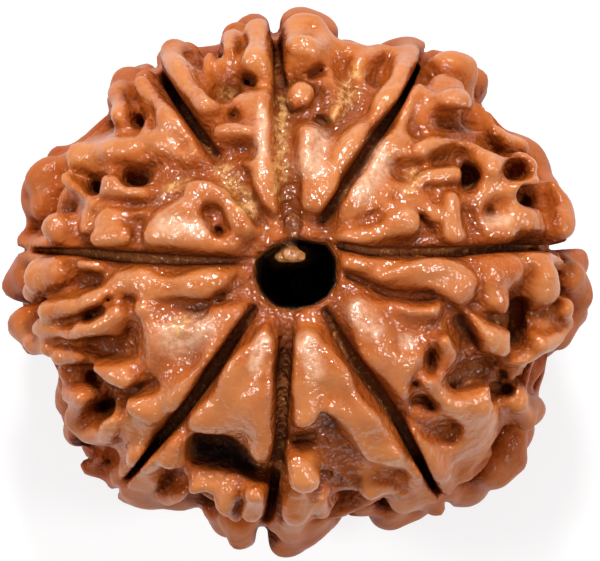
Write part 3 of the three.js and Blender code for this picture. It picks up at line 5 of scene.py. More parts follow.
import bpy
import numpy as np
import openvdb
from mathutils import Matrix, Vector


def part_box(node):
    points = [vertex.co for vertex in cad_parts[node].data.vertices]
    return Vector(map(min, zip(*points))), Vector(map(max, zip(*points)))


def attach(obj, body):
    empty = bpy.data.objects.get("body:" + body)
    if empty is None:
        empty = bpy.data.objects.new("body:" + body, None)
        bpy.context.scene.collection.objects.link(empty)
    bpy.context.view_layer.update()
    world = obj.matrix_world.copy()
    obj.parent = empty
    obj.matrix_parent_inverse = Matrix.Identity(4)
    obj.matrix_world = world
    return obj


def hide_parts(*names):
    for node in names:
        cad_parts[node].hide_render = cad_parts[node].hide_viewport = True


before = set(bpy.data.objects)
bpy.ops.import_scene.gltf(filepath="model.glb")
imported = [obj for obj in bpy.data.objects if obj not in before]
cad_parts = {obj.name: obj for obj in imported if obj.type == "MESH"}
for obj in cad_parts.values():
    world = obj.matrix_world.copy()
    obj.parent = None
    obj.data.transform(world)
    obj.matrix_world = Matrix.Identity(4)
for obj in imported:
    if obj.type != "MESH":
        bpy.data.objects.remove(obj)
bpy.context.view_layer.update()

# Eight grooves from the hole outwards, clockwise from the top: [x, y, half width, floor]
GROOVES = [
    [[-0.3, 2.4, 0.4, -0.6], [-0.45, 4.0, 0.36, 0.0], [-0.6, 6.0, 0.36, 0.1], [-0.75, 8.4, 0.34, 0.1],
     [-0.95, 9.3, 0.22, -1.2], [-1.0, 10.6, 0.2, -1.0], [-1.15, 11.25, 0.18, 0.65],
     [-1.4, 14.0, 0.3, 0.65]],
    [[1.1, 2.7, 0.24, -0.6], [1.95, 3.9, 0.23, -0.8], [2.55, 5.0, 0.22, -0.8], [3.2, 6.0, 0.25, -0.9],
     [3.9, 7.0, 0.21, -0.9], [4.6, 8.0, 0.16, -1.0], [5.12, 9.0, 0.13, -1.1], [5.6, 10.1, 0.1, 0.95],
     [7.6, 13.4, 0.2, 0.95]],
    [[1.9, 1.5, 0.18, -0.5], [3.2, 1.2, 0.2, -0.6], [5.0, 1.15, 0.2, -0.8], [7.0, 1.2, 0.22, -1.2],
     [9.0, 1.35, 0.18, -1.2], [10.6, 1.4, 0.14, -1.0], [11.4, 1.4, 0.12, -0.2], [14.5, 1.75, 0.2, -0.2]],
    [[1.2, -1.5, 0.2, -0.6], [1.8, -2.6, 0.24, -1.0], [2.6, -3.9, 0.27, -1.0], [3.7, -5.3, 0.27, -0.9],
     [4.6, -6.7, 0.24, -0.9], [5.35, -8.1, 0.23, -1.0], [6.1, -9.5, 0.16, -0.8], [6.7, -10.2, 0.12, 1.3],
     [7.8, -12.6, 0.2, 1.3]],
    [[-0.55, -1.6, 0.3, -0.3], [-0.6, -3.2, 0.3, -0.4], [-0.75, -4.4, 0.26, -1.2],
     [-0.85, -7.0, 0.26, -1.3], [-1.1, -9.0, 0.22, -1.3], [-1.3, -10.6, 0.2, -0.9],
     [-1.7, -11.4, 0.24, 0.85], [-1.95, -14.0, 0.34, 0.85]],
    [[-2.1, -1.4, 0.2, -0.5], [-2.9, -2.6, 0.27, -1.0], [-3.9, -4.15, 0.28, -0.9],
     [-4.8, -5.4, 0.26, -0.9], [-5.8, -6.7, 0.24, -0.9], [-6.9, -8.0, 0.18, -1.1],
     [-7.55, -8.8, 0.14, 0.2], [-8.2, -9.5, 0.12, 1.6], [-9.6, -11.3, 0.2, 1.6]],
    [[-2.4, 0.8, 0.14, -0.3], [-4.0, 0.8, 0.18, -0.4], [-6.0, 0.85, 0.22, -0.7], [-8.0, 0.95, 0.24, -1.4],
     [-10.0, 1.2, 0.18, -1.2], [-11.4, 1.25, 0.15, -0.6], [-12.5, 1.3, 0.12, 0.9],
     [-14.6, 1.35, 0.2, 0.9]],
    [[-1.9, 2.6, 0.2, 0.0], [-2.7, 4.0, 0.3, 0.1], [-3.4, 5.0, 0.3, 0.0], [-4.1, 6.0, 0.22, -0.9],
     [-4.8, 7.0, 0.23, -1.1], [-5.5, 8.0, 0.22, -1.1], [-6.05, 8.9, 0.2, -1.0], [-6.6, 9.8, 0.13, 0.75],
     [-8.6, 12.8, 0.2, 0.75]],
]
# Rim of the hole: [x, y]
HOLE_RIM = [
    [-2.05, 0.9], [-2.1, 0.1], [-1.85, -0.6], [-1.2, -1.25], [-0.3, -1.4], [0.6, -1.2], [1.3, -0.75],
    [1.65, -0.2], [1.65, 0.9], [1.25, 1.6], [0.6, 1.75], [-0.3, 1.9], [-1.3, 1.5],
]
# Knobs that make the bead's outline, clockwise from the top groove: [x, y, radius]
RIM_KNOBS = [
    [0.1, 11.45, 1.05], [0.65, 11.15, 1.0], [2.1, 10.05, 0.8], [4.1, 10.0, 0.9], [5.15, 10.35, 0.75],
    [7.0, 9.35, 1.1], [7.6, 9.0, 0.8], [7.75, 7.8, 0.6], [9.1, 5.6, 0.95], [10.0, 5.4, 0.95],
    [10.65, 4.95, 0.75], [11.0, 3.9, 0.95], [11.55, 2.8, 0.95], [12.5, 0.6, 0.85], [12.5, -0.5, 0.9],
    [12.2, -1.4, 0.95], [11.7, -2.4, 0.95], [10.6, -2.9, 0.85], [9.8, -4.4, 0.85], [10.2, -5.9, 0.95],
    [9.9, -7.2, 0.9], [9.6, -8.1, 0.9], [8.8, -8.8, 0.9], [7.6, -9.35, 1.1], [6.1, -10.3, 0.75],
    [5.2, -10.4, 0.85], [4.2, -10.6, 1.0], [3.1, -10.0, 0.85], [2.0, -9.9, 0.85], [0.9, -10.7, 1.0],
    [0.2, -11.2, 0.85], [-0.5, -11.7, 0.9], [-2.6, -11.5, 0.9], [-3.2, -10.9, 0.9], [-3.3, -10.0, 0.8],
    [-4.7, -9.1, 0.8], [-5.7, -9.6, 0.95], [-6.9, -9.6, 1.0], [-7.7, -9.1, 0.8], [-8.9, -8.0, 0.85],
    [-9.6, -7.6, 1.0], [-10.0, -6.8, 1.0], [-10.1, -5.6, 1.0], [-10.3, -4.6, 0.9], [-12.0, -2.7, 0.75],
    [-12.5, -2.2, 0.9], [-12.5, -0.3, 0.95], [-12.4, 0.4, 0.8], [-12.4, 1.8, 0.4], [-11.9, 2.2, 0.6],
    [-11.9, 3.4, 0.95], [-11.6, 4.4, 0.95], [-10.8, 5.0, 0.95], [-9.7, 5.5, 0.95], [-8.6, 5.9, 0.9],
    [-7.75, 7.9, 0.95], [-7.7, 8.75, 0.95], [-6.9, 8.9, 0.8], [-5.75, 10.0, 0.8], [-4.5, 9.4, 0.8],
    [-3.6, 9.9, 0.75], [-2.9, 10.8, 0.85], [-2.15, 11.2, 0.9],
]
# Flat-topped wedges that stand between the grooves: [lift, edge, [[x, y], ...]]
PLATES = [
    # top, right of the top groove
    [0.85, 0.5, [[0.1, 3.1], [0.9, 3.0], [1.35, 3.7], [1.9, 4.6], [2.5, 5.6], [3.1, 6.6], [3.4, 7.2],
                 [2.9, 7.5], [2.2, 7.1], [1.7, 6.6], [1.2, 6.5], [0.8, 7.0], [0.15, 7.1], [-0.05, 6.4],
                 [-0.05, 5.0], [0.0, 3.8]]],
    # upper right
    [0.8, 0.5, [[1.9, 2.6], [2.4, 2.5], [3.3, 2.95], [4.1, 3.4], [4.6, 4.0], [4.5, 4.9], [5.0, 5.7],
                [5.1, 6.3], [4.8, 6.8], [4.2, 6.7], [3.7, 6.0], [3.1, 4.9], [2.5, 3.9], [2.05, 3.1]]],
    [0.6, 0.7, [[7.8, 2.0], [9.0, 1.7], [10.1, 2.1], [10.3, 2.9], [10.2, 3.9], [9.7, 4.6], [9.0, 5.1],
                [8.5, 4.6], [8.2, 3.9], [7.9, 3.2]]],
    # right, under the right groove
    [0.65, 0.5, [[3.7, 0.1], [4.6, 0.45], [5.6, 0.65], [6.6, 0.75], [7.5, 0.6], [8.0, 0.1], [8.0, -0.8],
                 [7.3, -1.2], [6.5, -0.7], [5.2, -0.45], [4.3, -0.3]]],
    # lower right
    [0.85, 0.5, [[2.05, -1.0], [2.8, -0.8], [4.0, -1.15], [4.6, -1.25], [5.5, -1.1], [6.3, -1.2],
                 [6.4, -1.8], [6.1, -2.4], [6.0, -3.0], [5.7, -3.9], [5.3, -4.6], [5.15, -5.3],
                 [4.9, -5.75], [4.4, -5.6], [3.4, -4.5], [2.6, -3.3], [2.05, -2.0]]],
    [1.0, 0.7, [[6.6, -5.2], [7.4, -5.6], [8.2, -5.6], [9.0, -5.7], [9.5, -6.4], [9.2, -7.2], [8.7, -8.0],
                [7.7, -8.35], [6.9, -8.6], [6.1, -8.1], [5.4, -7.3], [6.0, -7.2], [6.9, -7.2], [7.1, -6.6],
                [6.7, -5.9]]],
    [0.4, 0.3, [[4.9, -5.9], [5.7, -6.0], [6.5, -5.8], [7.4, -6.1], [7.5, -7.2], [6.2, -7.5], [5.3, -7.0]]],
    # bottom right
    [1.05, 0.4, [[0.25, -2.4], [0.9, -2.5], [1.6, -3.6], [2.5, -4.9], [3.4, -6.1], [4.3, -7.3],
                 [4.85, -8.1], [4.6, -8.6], [3.7, -8.75], [3.0, -8.45], [2.5, -7.7], [2.1, -6.9],
                 [1.5, -6.2], [1.0, -5.9], [0.75, -6.4], [0.5, -6.95], [-0.1, -6.95], [-0.35, -6.4],
                 [-0.3, -5.0], [-0.1, -3.5]]],
    [0.2, 0.4, [[0.9, -6.0], [1.5, -6.3], [2.1, -7.0], [2.5, -8.0], [2.3, -9.0], [1.5, -8.8], [1.0, -7.6]]],
    # bottom left
    [1.05, 0.4, [[-1.75, -2.1], [-1.35, -2.0], [-1.25, -3.0], [-1.25, -5.0], [-1.2, -6.5], [-1.1, -7.6],
                 [-1.3, -8.5], [-1.9, -8.6], [-2.5, -8.0], [-2.6, -7.2], [-3.2, -7.0], [-4.2, -7.1],
                 [-5.1, -7.1], [-5.15, -6.7], [-4.4, -5.5], [-3.5, -4.2], [-2.6, -3.1]]],
    # lower left
    [0.85, 0.5, [[-2.4, -1.2], [-3.1, -2.2], [-3.8, -3.3], [-4.7, -4.6], [-5.6, -5.8], [-6.4, -6.8],
                 [-7.0, -7.7], [-7.6, -8.6], [-8.1, -8.8], [-8.35, -8.0], [-8.4, -7.2], [-8.2, -6.2],
                 [-7.6, -5.45], [-6.8, -5.15], [-6.6, -4.95], [-7.2, -4.7], [-7.1, -3.2], [-7.2, -2.2],
                 [-7.4, -1.4], [-6.8, -1.15], [-5.8, -1.4], [-4.4, -1.3], [-3.2, -1.0]]],
    # left, under the left groove
    [0.9, 0.4, [[-3.0, 0.3], [-5.0, 0.3], [-7.0, 0.33], [-8.3, 0.3], [-8.75, -0.35], [-8.5, -0.85],
                [-7.2, -1.0], [-5.5, -1.0], [-4.0, -0.85], [-3.2, -0.4]]],
    # upper left
    [0.95, 0.6, [[-7.15, 2.5], [-6.9, 1.7], [-5.0, 1.45], [-3.0, 1.25], [-2.7, 1.6], [-3.4, 1.9],
                 [-4.0, 2.2], [-4.3, 3.0], [-4.6, 3.6], [-5.8, 3.6], [-6.6, 3.4]]],
    [0.8, 0.8, [[-11.2, 5.3], [-10.6, 4.9], [-9.9, 4.9], [-8.8, 5.2], [-7.6, 5.2], [-7.0, 5.8],
                [-7.2, 6.6], [-8.4, 6.9], [-10.0, 6.4], [-11.0, 6.0]]],
    # top left
    [0.85, 0.5, [[-1.05, 3.0], [-1.1, 4.5], [-1.15, 5.6], [-1.2, 7.4], [-1.15, 8.7], [-1.6, 8.8],
                 [-2.5, 8.4], [-2.8, 7.9], [-2.6, 7.2], [-2.5, 6.2], [-2.4, 5.7], [-2.9, 5.5],
                 [-2.9, 5.2], [-2.2, 4.5], [-1.6, 3.5]]],
]
# Ridges and knobs with solid flanks: [lift of the crest, [[x, y, radius], ...]]
RIDGES = [
    # top lobe
    [1.5, [[-0.1, 10.5, 0.7], [0.05, 11.3, 0.75], [0.6, 11.2, 0.75]]],
    [1.3, [[0.4, 10.3, 0.5], [1.0, 10.9, 0.6]]],
    [1.0, [[0.35, 5.1, 0.3], [0.3, 5.8, 0.34], [0.3, 6.6, 0.36]]],
    [1.0, [[1.9, 5.4, 0.35], [2.4, 6.2, 0.4], [2.8, 6.8, 0.42]]],
    [1.0, [[3.3, 7.2, 0.42], [3.75, 7.75, 0.48], [4.2, 8.4, 0.5], [4.55, 9.1, 0.52], [5.0, 9.9, 0.66],
           [5.25, 10.4, 0.7]]],
    [0.6, [[1.7, 10.3, 0.45], [2.5, 10.2, 0.45]]],
    [0.7, [[2.9, 9.9, 0.4], [3.6, 10.3, 0.45], [4.3, 10.1, 0.45]]],
    [0.4, [[2.7, 9.6, 0.34], [2.8, 8.9, 0.34], [3.4, 8.5, 0.34]]],
    [0.5, [[1.45, 7.3, 0.28], [1.8, 7.8, 0.28], [1.9, 8.4, 0.22]]],
    # upper right lobe
    [1.05, [[2.4, 3.4, 0.4], [2.9, 4.3, 0.42], [3.5, 5.2, 0.45], [4.1, 6.0, 0.5], [4.6, 6.9, 0.42],
            [4.95, 7.9, 0.46], [5.4, 8.35, 0.5], [5.85, 7.9, 0.44], [6.0, 7.3, 0.38]]],
    [0.9, [[4.4, 5.7, 0.5], [4.7, 6.2, 0.45]]],
    [0.85, [[5.4, 8.0, 0.5], [5.5, 7.2, 0.46]]],
    [1.0, [[2.2, 1.85, 0.32], [3.4, 2.0, 0.42], [4.2, 2.25, 0.55], [4.8, 2.35, 0.58]]],
    [0.6, [[4.0, 3.0, 0.4], [4.7, 3.3, 0.38], [5.5, 3.3, 0.34], [6.0, 3.0, 0.32]]],
    [0.65, [[4.3, 4.4, 0.26], [5.1, 4.1, 0.26], [5.9, 3.5, 0.28]]],
    [0.65, [[4.7, 3.8, 0.5], [5.5, 3.75, 0.5], [6.2, 3.8, 0.42]]],
    [1.2, [[6.85, 3.65, 0.5], [7.0, 3.1, 0.48], [7.1, 2.2, 0.62]]],
    [0.45, [[5.9, 2.9, 0.34]]],
    [0.7, [[8.1, 3.4, 0.4], [7.5, 3.5, 0.35], [7.0, 3.6, 0.35]]],
    [1.05, [[8.2, 3.3, 0.42], [8.5, 3.9, 0.42], [9.2, 4.2, 0.45], [9.8, 3.7, 0.45], [9.85, 2.9, 0.48],
            [9.3, 2.3, 0.5], [8.5, 2.3, 0.42], [8.1, 2.8, 0.4], [8.2, 3.3, 0.42]]],
    [1.25, [[9.3, 4.5, 0.5], [8.9, 5.1, 0.48], [8.5, 5.7, 0.52], [7.95, 6.2, 0.56], [7.25, 6.5, 0.56],
            [6.5, 6.3, 0.5], [5.9, 6.05, 0.42], [5.4, 5.8, 0.36]]],
    [1.5, [[8.9, 4.9, 0.42], [9.35, 5.4, 0.44], [10.0, 5.4, 0.44], [10.5, 5.0, 0.44], [10.45, 4.5, 0.42],
            [9.9, 4.25, 0.36]]],
    [0.95, [[8.6, 6.5, 0.4], [9.3, 6.1, 0.4], [9.9, 6.0, 0.35]]],
    [1.15, [[10.3, 2.65, 0.6], [10.9, 2.65, 0.6]]],
    [1.2, [[11.5, 4.2, 0.45], [11.95, 3.2, 0.5], [11.8, 2.4, 0.5]]],
    [1.7, [[6.8, 9.5, 0.86], [7.3, 9.3, 0.9]]],
    [1.75, [[6.75, 7.75, 0.8], [6.95, 7.7, 0.85]]],
    [1.5, [[6.55, 8.7, 0.75], [6.85, 8.5, 0.8]]],
    [0.8, [[6.2, 9.6, 0.4], [6.0, 10.0, 0.35]]],
    # right lobe
    [0.55, [[2.2, 0.8, 0.24], [3.3, 0.72, 0.22], [4.6, 0.85, 0.18]]],
    [0.95, [[3.8, 0.05, 0.2], [4.5, 0.3, 0.26], [5.4, 0.5, 0.28], [6.4, 0.6, 0.3], [7.2, 0.4, 0.36],
            [7.7, 0.0, 0.4]]],
    [0.5, [[4.6, -0.15, 0.3], [5.6, -0.15, 0.35], [6.6, -0.3, 0.4], [7.3, -0.5, 0.4]]],
    [1.5, [[8.9, 0.2, 0.75], [9.5, 0.35, 0.8]]],
    [1.35, [[8.9, -0.2, 0.8], [9.0, -0.95, 0.68]]],
    [1.3, [[10.95, 0.0, 0.8], [11.05, -0.6, 0.8]]],
    [0.95, [[10.4, 0.85, 0.32], [11.2, 0.95, 0.38], [11.9, 0.7, 0.42]]],
    [1.1, [[12.0, -1.4, 0.4], [12.2, -2.0, 0.45], [11.8, -2.7, 0.45], [11.0, -3.0, 0.4]]],
    [0.5, [[10.9, -1.9, 0.4], [11.4, -2.2, 0.4]]],
    [1.1, [[2.6, -1.5, 0.5], [3.1, -2.3, 0.5]]],
    [1.15, [[4.7, -1.5, 0.3], [5.5, -1.65, 0.36], [6.0, -1.6, 0.3]]],
    [1.15, [[6.55, -2.8, 0.45], [6.8, -3.4, 0.68], [6.7, -4.1, 0.68], [6.2, -4.6, 0.5], [5.7, -4.7, 0.32]]],
    [0.95, [[6.2, -5.0, 0.32], [6.9, -5.5, 0.4], [7.8, -5.6, 0.42]]],
    [1.0, [[8.75, -4.4, 0.3], [8.45, -5.1, 0.34], [8.35, -5.8, 0.4]]],
    [0.75, [[9.2, -3.9, 0.36], [10.0, -3.8, 0.36], [10.5, -3.4, 0.36]]],
    [0.8, [[5.1, -7.0, 0.3], [5.8, -7.9, 0.45], [6.4, -8.8, 0.6], [7.0, -9.5, 0.6]]],
    [0.9, [[7.6, -9.5, 0.6], [8.3, -9.3, 0.45]]],
    [0.85, [[7.5, -8.5, 0.8], [8.3, -8.1, 0.7]]],
    [1.0, [[10.0, -5.8, 0.55], [10.3, -6.4, 0.5]]],
    [0.95, [[9.8, -7.5, 0.45], [9.6, -8.2, 0.5], [9.1, -8.7, 0.45]]],
    # bottom right lobe
    [1.15, [[1.3, -3.4, 0.25], [2.4, -5.1, 0.3], [3.5, -6.6, 0.36], [4.3, -7.8, 0.4]]],
    [1.1, [[0.2, -3.2, 0.3], [0.05, -5.2, 0.34], [0.05, -6.4, 0.38]]],
    [1.45, [[0.05, -8.3, 0.76], [0.1, -8.8, 0.74]]],
    [1.0, [[-0.1, -9.5, 0.62], [-0.1, -10.4, 0.65], [-0.3, -11.2, 0.6], [-0.5, -11.7, 0.5]]],
    [0.7, [[0.9, -10.0, 0.5], [1.0, -10.6, 0.55]]],
    [0.6, [[3.4, -9.6, 0.5], [4.6, -9.7, 0.5], [4.8, -10.5, 0.55], [3.7, -10.8, 0.5]]],
    [0.7, [[5.2, -9.3, 0.45], [5.5, -10.1, 0.5], [6.2, -10.4, 0.42]]],
    [0.1, [[1.2, -7.2, 0.16], [1.7, -8.2, 0.16], [2.3, -9.1, 0.16]]],
    # bottom left lobe
    [1.15, [[-1.55, -3.0, 0.3], [-1.7, -5.0, 0.38], [-1.8, -6.8, 0.42], [-1.8, -7.9, 0.45]]],
    [1.1, [[-2.5, -3.8, 0.26], [-3.5, -5.2, 0.34], [-4.5, -6.5, 0.38]]],
    [1.2, [[-5.95, -8.3, 0.55], [-5.6, -7.6, 0.48]]],
    [0.9, [[-6.6, -9.1, 0.45], [-7.2, -9.5, 0.48], [-6.8, -9.9, 0.45], [-5.6, -9.9, 0.42],
           [-4.9, -9.4, 0.4]]],
    [1.2, [[-2.0, -9.7, 0.55], [-2.1, -10.5, 0.55]]],
    [0.95, [[-3.0, -9.7, 0.5], [-3.4, -10.1, 0.5], [-2.9, -10.7, 0.5]]],
    [0.9, [[-2.5, -11.4, 0.5], [-3.1, -11.1, 0.5]]],
    [0.6, [[-4.4, -9.2, 0.36], [-3.8, -9.4, 0.36]]],
    # lower left lobe
    [1.0, [[-2.8, -1.6, 0.3], [-3.6, -2.7, 0.36], [-4.6, -4.1, 0.4], [-5.7, -5.6, 0.45]]],
    [0.95, [[-6.9, -2.2, 0.32], [-6.75, -3.4, 0.34], [-6.8, -4.1, 0.32]]],
    [1.05, [[-7.1, -1.4, 0.4]]],
    [1.15, [[-9.2, -4.0, 0.42], [-8.5, -4.3, 0.5], [-7.8, -4.5, 0.46]]],
    [1.1, [[-12.7, -2.2, 0.6], [-12.2, -2.8, 0.5], [-11.5, -3.1, 0.4]]],
    [1.0, [[-10.8, -3.5, 0.42], [-9.9, -3.5, 0.44], [-9.2, -3.5, 0.36]]],
    [0.7, [[-10.5, -4.4, 0.5]]],
    [1.35, [[-11.5, 0.2, 0.9], [-11.0, 0.25, 0.8]]],
    [1.2, [[-12.1, -0.7, 0.6]]],
    [1.05, [[-9.8, 0.5, 0.4], [-9.2, 0.5, 0.4]]],
    [1.0, [[-10.5, -5.2, 0.55], [-9.9, -5.4, 0.45], [-10.2, -6.2, 0.45]]],
    [1.0, [[-8.4, -6.4, 0.35], [-8.8, -7.0, 0.5], [-9.5, -7.0, 0.5], [-10.0, -6.7, 0.4]]],
    [0.95, [[-10.2, -7.8, 0.4], [-9.5, -8.5, 0.4], [-8.7, -8.8, 0.35]]],
    [1.0, [[-10.1, -7.05, 0.5], [-9.4, -7.2, 0.5], [-8.7, -7.3, 0.5]]],
    [1.15, [[-7.2, -5.8, 0.5], [-6.8, -6.0, 0.5]]],
    [0.35, [[-7.8, 0.38, 0.14], [-6.0, 0.38, 0.14], [-3.2, 0.42, 0.14]]],
    [1.0, [[-8.15, -0.3, 0.42], [-6.0, -0.2, 0.36], [-3.8, -0.12, 0.32]]],
    [1.35, [[-11.2, -1.5, 0.58], [-10.3, -1.25, 0.58], [-9.4, -0.9, 0.46], [-8.8, -0.7, 0.38]]],
    [1.25, [[-9.9, -2.4, 0.42], [-9.1, -2.05, 0.46], [-8.3, -1.65, 0.44]]],
    [1.15, [[-11.9, -2.3, 0.44], [-11.2, -2.35, 0.44], [-10.5, -2.45, 0.36]]],
    # upper left lobe
    [1.1, [[-4.9, 4.1, 0.34], [-4.2, 4.0, 0.4], [-3.5, 3.6, 0.46], [-3.0, 3.0, 0.48], [-2.6, 2.3, 0.42]]],
    [0.85, [[-4.1, 3.3, 0.5], [-3.8, 2.8, 0.45]]],
    [1.1, [[-6.3, 2.7, 0.55], [-5.3, 3.0, 0.6], [-4.8, 3.1, 0.5]]],
    [1.05, [[-6.7, 2.05, 0.36], [-5.0, 1.85, 0.36], [-3.2, 1.55, 0.3]]],
    [0.6, [[-6.3, 3.9, 0.18], [-5.7, 3.95, 0.2], [-5.3, 4.15, 0.18]]],
    [1.1, [[-7.1, 8.7, 0.5], [-6.5, 8.0, 0.48], [-6.0, 7.3, 0.44], [-5.4, 6.8, 0.42], [-4.95, 6.3, 0.38],
           [-4.75, 5.8, 0.3]]],
    [0.9, [[-6.3, 6.1, 0.36], [-5.7, 5.95, 0.42], [-5.1, 5.5, 0.34]]],
    [0.6, [[-7.1, 5.4, 0.42], [-6.6, 5.6, 0.45]]],
    [1.1, [[-8.8, 2.5, 0.6], [-8.3, 2.3, 0.6], [-8.0, 2.0, 0.55], [-8.9, 1.9, 0.5]]],
    [0.9, [[-9.7, 2.3, 0.4], [-9.7, 2.9, 0.4], [-9.4, 3.4, 0.34]]],
    [1.3, [[-11.0, 2.2, 0.75]]],
    [1.2, [[-11.7, 4.2, 0.8]]],
    [1.05, [[-8.1, 8.8, 0.55], [-8.15, 8.0, 0.5], [-8.1, 7.4, 0.4]]],
    [0.85, [[-6.95, 9.1, 0.5]]],
    [0.85, [[-7.1, 7.2, 0.36], [-6.9, 6.3, 0.36]]],
    [1.05, [[-9.9, 5.4, 0.6], [-8.6, 5.7, 0.68], [-7.6, 5.9, 0.62]]],
    [0.7, [[-9.2, 4.95, 0.5], [-8.6, 4.9, 0.4]]],
    [0.9, [[-10.6, 4.5, 0.26], [-10.1, 4.05, 0.28], [-9.6, 3.7, 0.28]]],
    [1.05, [[-8.8, 4.25, 0.34], [-7.8, 4.0, 0.38], [-7.0, 3.75, 0.36]]],
    [0.95, [[-8.6, 2.95, 0.26], [-7.8, 2.95, 0.26], [-7.1, 3.05, 0.24]]],
    # top left lobe
    [1.25, [[-3.6, 6.65, 0.46], [-3.0, 6.6, 0.56], [-2.4, 6.5, 0.5]]],
    [1.45, [[-4.15, 7.8, 0.55], [-4.6, 8.4, 0.68], [-5.15, 9.2, 0.72], [-5.65, 9.9, 0.7],
            [-5.85, 10.2, 0.66]]],
    [0.75, [[-4.6, 9.0, 0.35], [-4.0, 8.5, 0.35]]],
    [0.7, [[-3.3, 8.1, 0.3], [-2.7, 8.1, 0.34]]],
    [1.0, [[-3.1, 10.3, 0.42], [-3.0, 11.0, 0.45]]],
    [1.0, [[-1.7, 5.4, 0.34], [-1.6, 6.8, 0.34], [-1.75, 8.1, 0.42]]],
    [1.5, [[-1.95, 9.95, 0.5], [-1.9, 10.8, 0.56], [-1.85, 11.3, 0.56]]],
    [0.8, [[-4.5, 9.6, 0.4], [-4.1, 9.9, 0.4]]],
    [0.5, [[-3.4, 9.6, 0.35], [-3.0, 9.8, 0.35]]],
    [0.9, [[5.3, 4.5, 0.38], [6.1, 4.6, 0.38], [6.9, 4.7, 0.34]]],
    [1.0, [[7.6, -2.1, 0.55], [8.2, -2.5, 0.75], [8.8, -2.9, 0.75], [9.0, -3.2, 0.6]]],
]
# Rods that bridge the hollows: [lift, [[x, y, radius], ...]]
RODS = [
    [1.0, [[0.0, 8.2, 0.64], [0.08, 8.35, 0.62]]],
    [0.95, [[6.3, 4.62, 0.34], [7.05, 4.72, 0.34]]],
    [1.15, [[-9.5, -0.9, 0.3], [-8.95, -0.72, 0.3]]],
    [1.1, [[-8.8, -1.85, 0.36], [-8.2, -1.55, 0.38]]],
]
# Soft hollows: [height of the floor, [[x, y, radius], ...]]
HOLLOWS = [
    [0.6, [[1.1, 5.7, 0.34], [1.3, 6.3, 0.38]]],
    [0.0, [[0.3, 7.4, 0.25]]],
    [0.1, [[1.15, 8.3, 0.3], [1.2, 9.2, 0.38]]],
    [0.1, [[2.0, 8.7, 0.45], [2.2, 9.4, 0.45]]],
    [0.3, [[3.6, 9.5, 0.42]]],
    [0.1, [[2.8, 7.85, 0.28]]],
    [0.5, [[2.9, 2.55, 0.16], [3.6, 2.75, 0.16]]],
    [0.1, [[4.7, 4.9, 0.36], [5.3, 5.0, 0.35]]],
    [0.1, [[6.2, 5.3, 0.2], [6.9, 5.35, 0.22], [7.4, 5.4, 0.26]]],
    [0.6, [[8.75, 3.2, 0.2], [9.2, 3.4, 0.18]]],
    [0.3, [[7.75, 2.5, 0.14], [7.65, 2.9, 0.12]]],
    [0.3, [[9.6, 4.85, 0.3], [9.9, 4.9, 0.28]]],
    [-0.5, [[6.5, 7.1, 0.16], [7.3, 7.15, 0.16]]],
    [-0.1, [[8.3, 6.7, 0.16], [8.7, 6.2, 0.14], [9.1, 5.9, 0.12]]],
    [0.5, [[11.35, 3.4, 0.2], [11.45, 2.8, 0.2]]],
    [0.55, [[4.1, -1.6, 0.2], [4.5, -2.2, 0.25], [5.2, -2.4, 0.25], [5.9, -2.35, 0.2]]],
    [0.6, [[4.7, -3.1, 0.45], [5.2, -3.0, 0.4]]],
    [-0.5, [[7.3, -1.95, 0.28], [7.9, -2.9, 0.24]]],
    [-0.2, [[8.8, -1.85, 0.16], [9.4, -2.2, 0.16]]],
    [-1.2, [[7.2, -4.9, 0.28], [7.9, -4.5, 0.34], [8.4, -4.15, 0.26]]],
    [0.8, [[7.3, -8.75, 0.16], [8.1, -8.8, 0.2], [8.6, -8.5, 0.18]]],
    [0.4, [[9.6, -7.0, 0.22]]],
    [0.8, [[1.1, -4.9, 0.25], [1.2, -5.5, 0.3]]],
    [-0.5, [[1.3, -7.0, 0.3], [1.6, -7.6, 0.45], [1.9, -8.5, 0.5], [2.5, -9.3, 0.4]]],
    [-0.8, [[-0.2, -7.4, 0.2], [0.6, -7.3, 0.25]]],
    [-0.3, [[3.5, -9.2, 0.32], [4.6, -9.1, 0.3]]],
    [0.5, [[3.9, -10.3, 0.3]]],
    [-0.4, [[-5.9, -9.35, 0.24], [-5.5, -9.3, 0.2]]],
    [0.2, [[-2.7, -9.1, 0.3]]],
    [0.3, [[-6.3, -1.7, 0.35], [-5.2, -1.6, 0.4], [-4.4, -1.5, 0.25]]],
    [0.55, [[-5.7, -3.1, 0.55], [-5.6, -3.8, 0.5]]],
    [-0.3, [[-7.75, -2.4, 0.28], [-7.75, -3.4, 0.3]]],
    [-0.2, [[-8.8, -2.85, 0.28], [-9.6, -3.0, 0.2], [-8.4, -3.35, 0.26]]],
    [0.1, [[-10.2, -0.25, 0.16], [-9.4, -0.12, 0.16]]],
    [0.5, [[-7.5, -5.1, 0.14], [-6.9, -4.9, 0.14]]],
    [-0.4, [[-9.8, -7.7, 0.2], [-9.2, -7.95, 0.22], [-8.6, -8.1, 0.2]]],
    [0.1, [[-6.2, 4.8, 0.4], [-5.5, 4.8, 0.36]]],
    [0.45, [[-4.2, 3.05, 0.18], [-3.8, 2.5, 0.18]]],
    [-0.2, [[-10.4, 3.2, 0.24]]],
    [-0.3, [[-12.0, 3.2, 0.22]]],
    [-0.2, [[-3.1, 8.9, 0.34], [-3.5, 8.5, 0.28]]],
    [0.3, [[-3.8, 9.3, 0.25]]],
    [0.3, [[-4.85, 10.25, 0.18], [-4.5, 9.3, 0.18]]],
    [0.1, [[-2.5, 4.6, 0.28]]],
    [-0.2, [[-3.4, 5.85, 0.3], [-2.6, 5.95, 0.24]]],
]
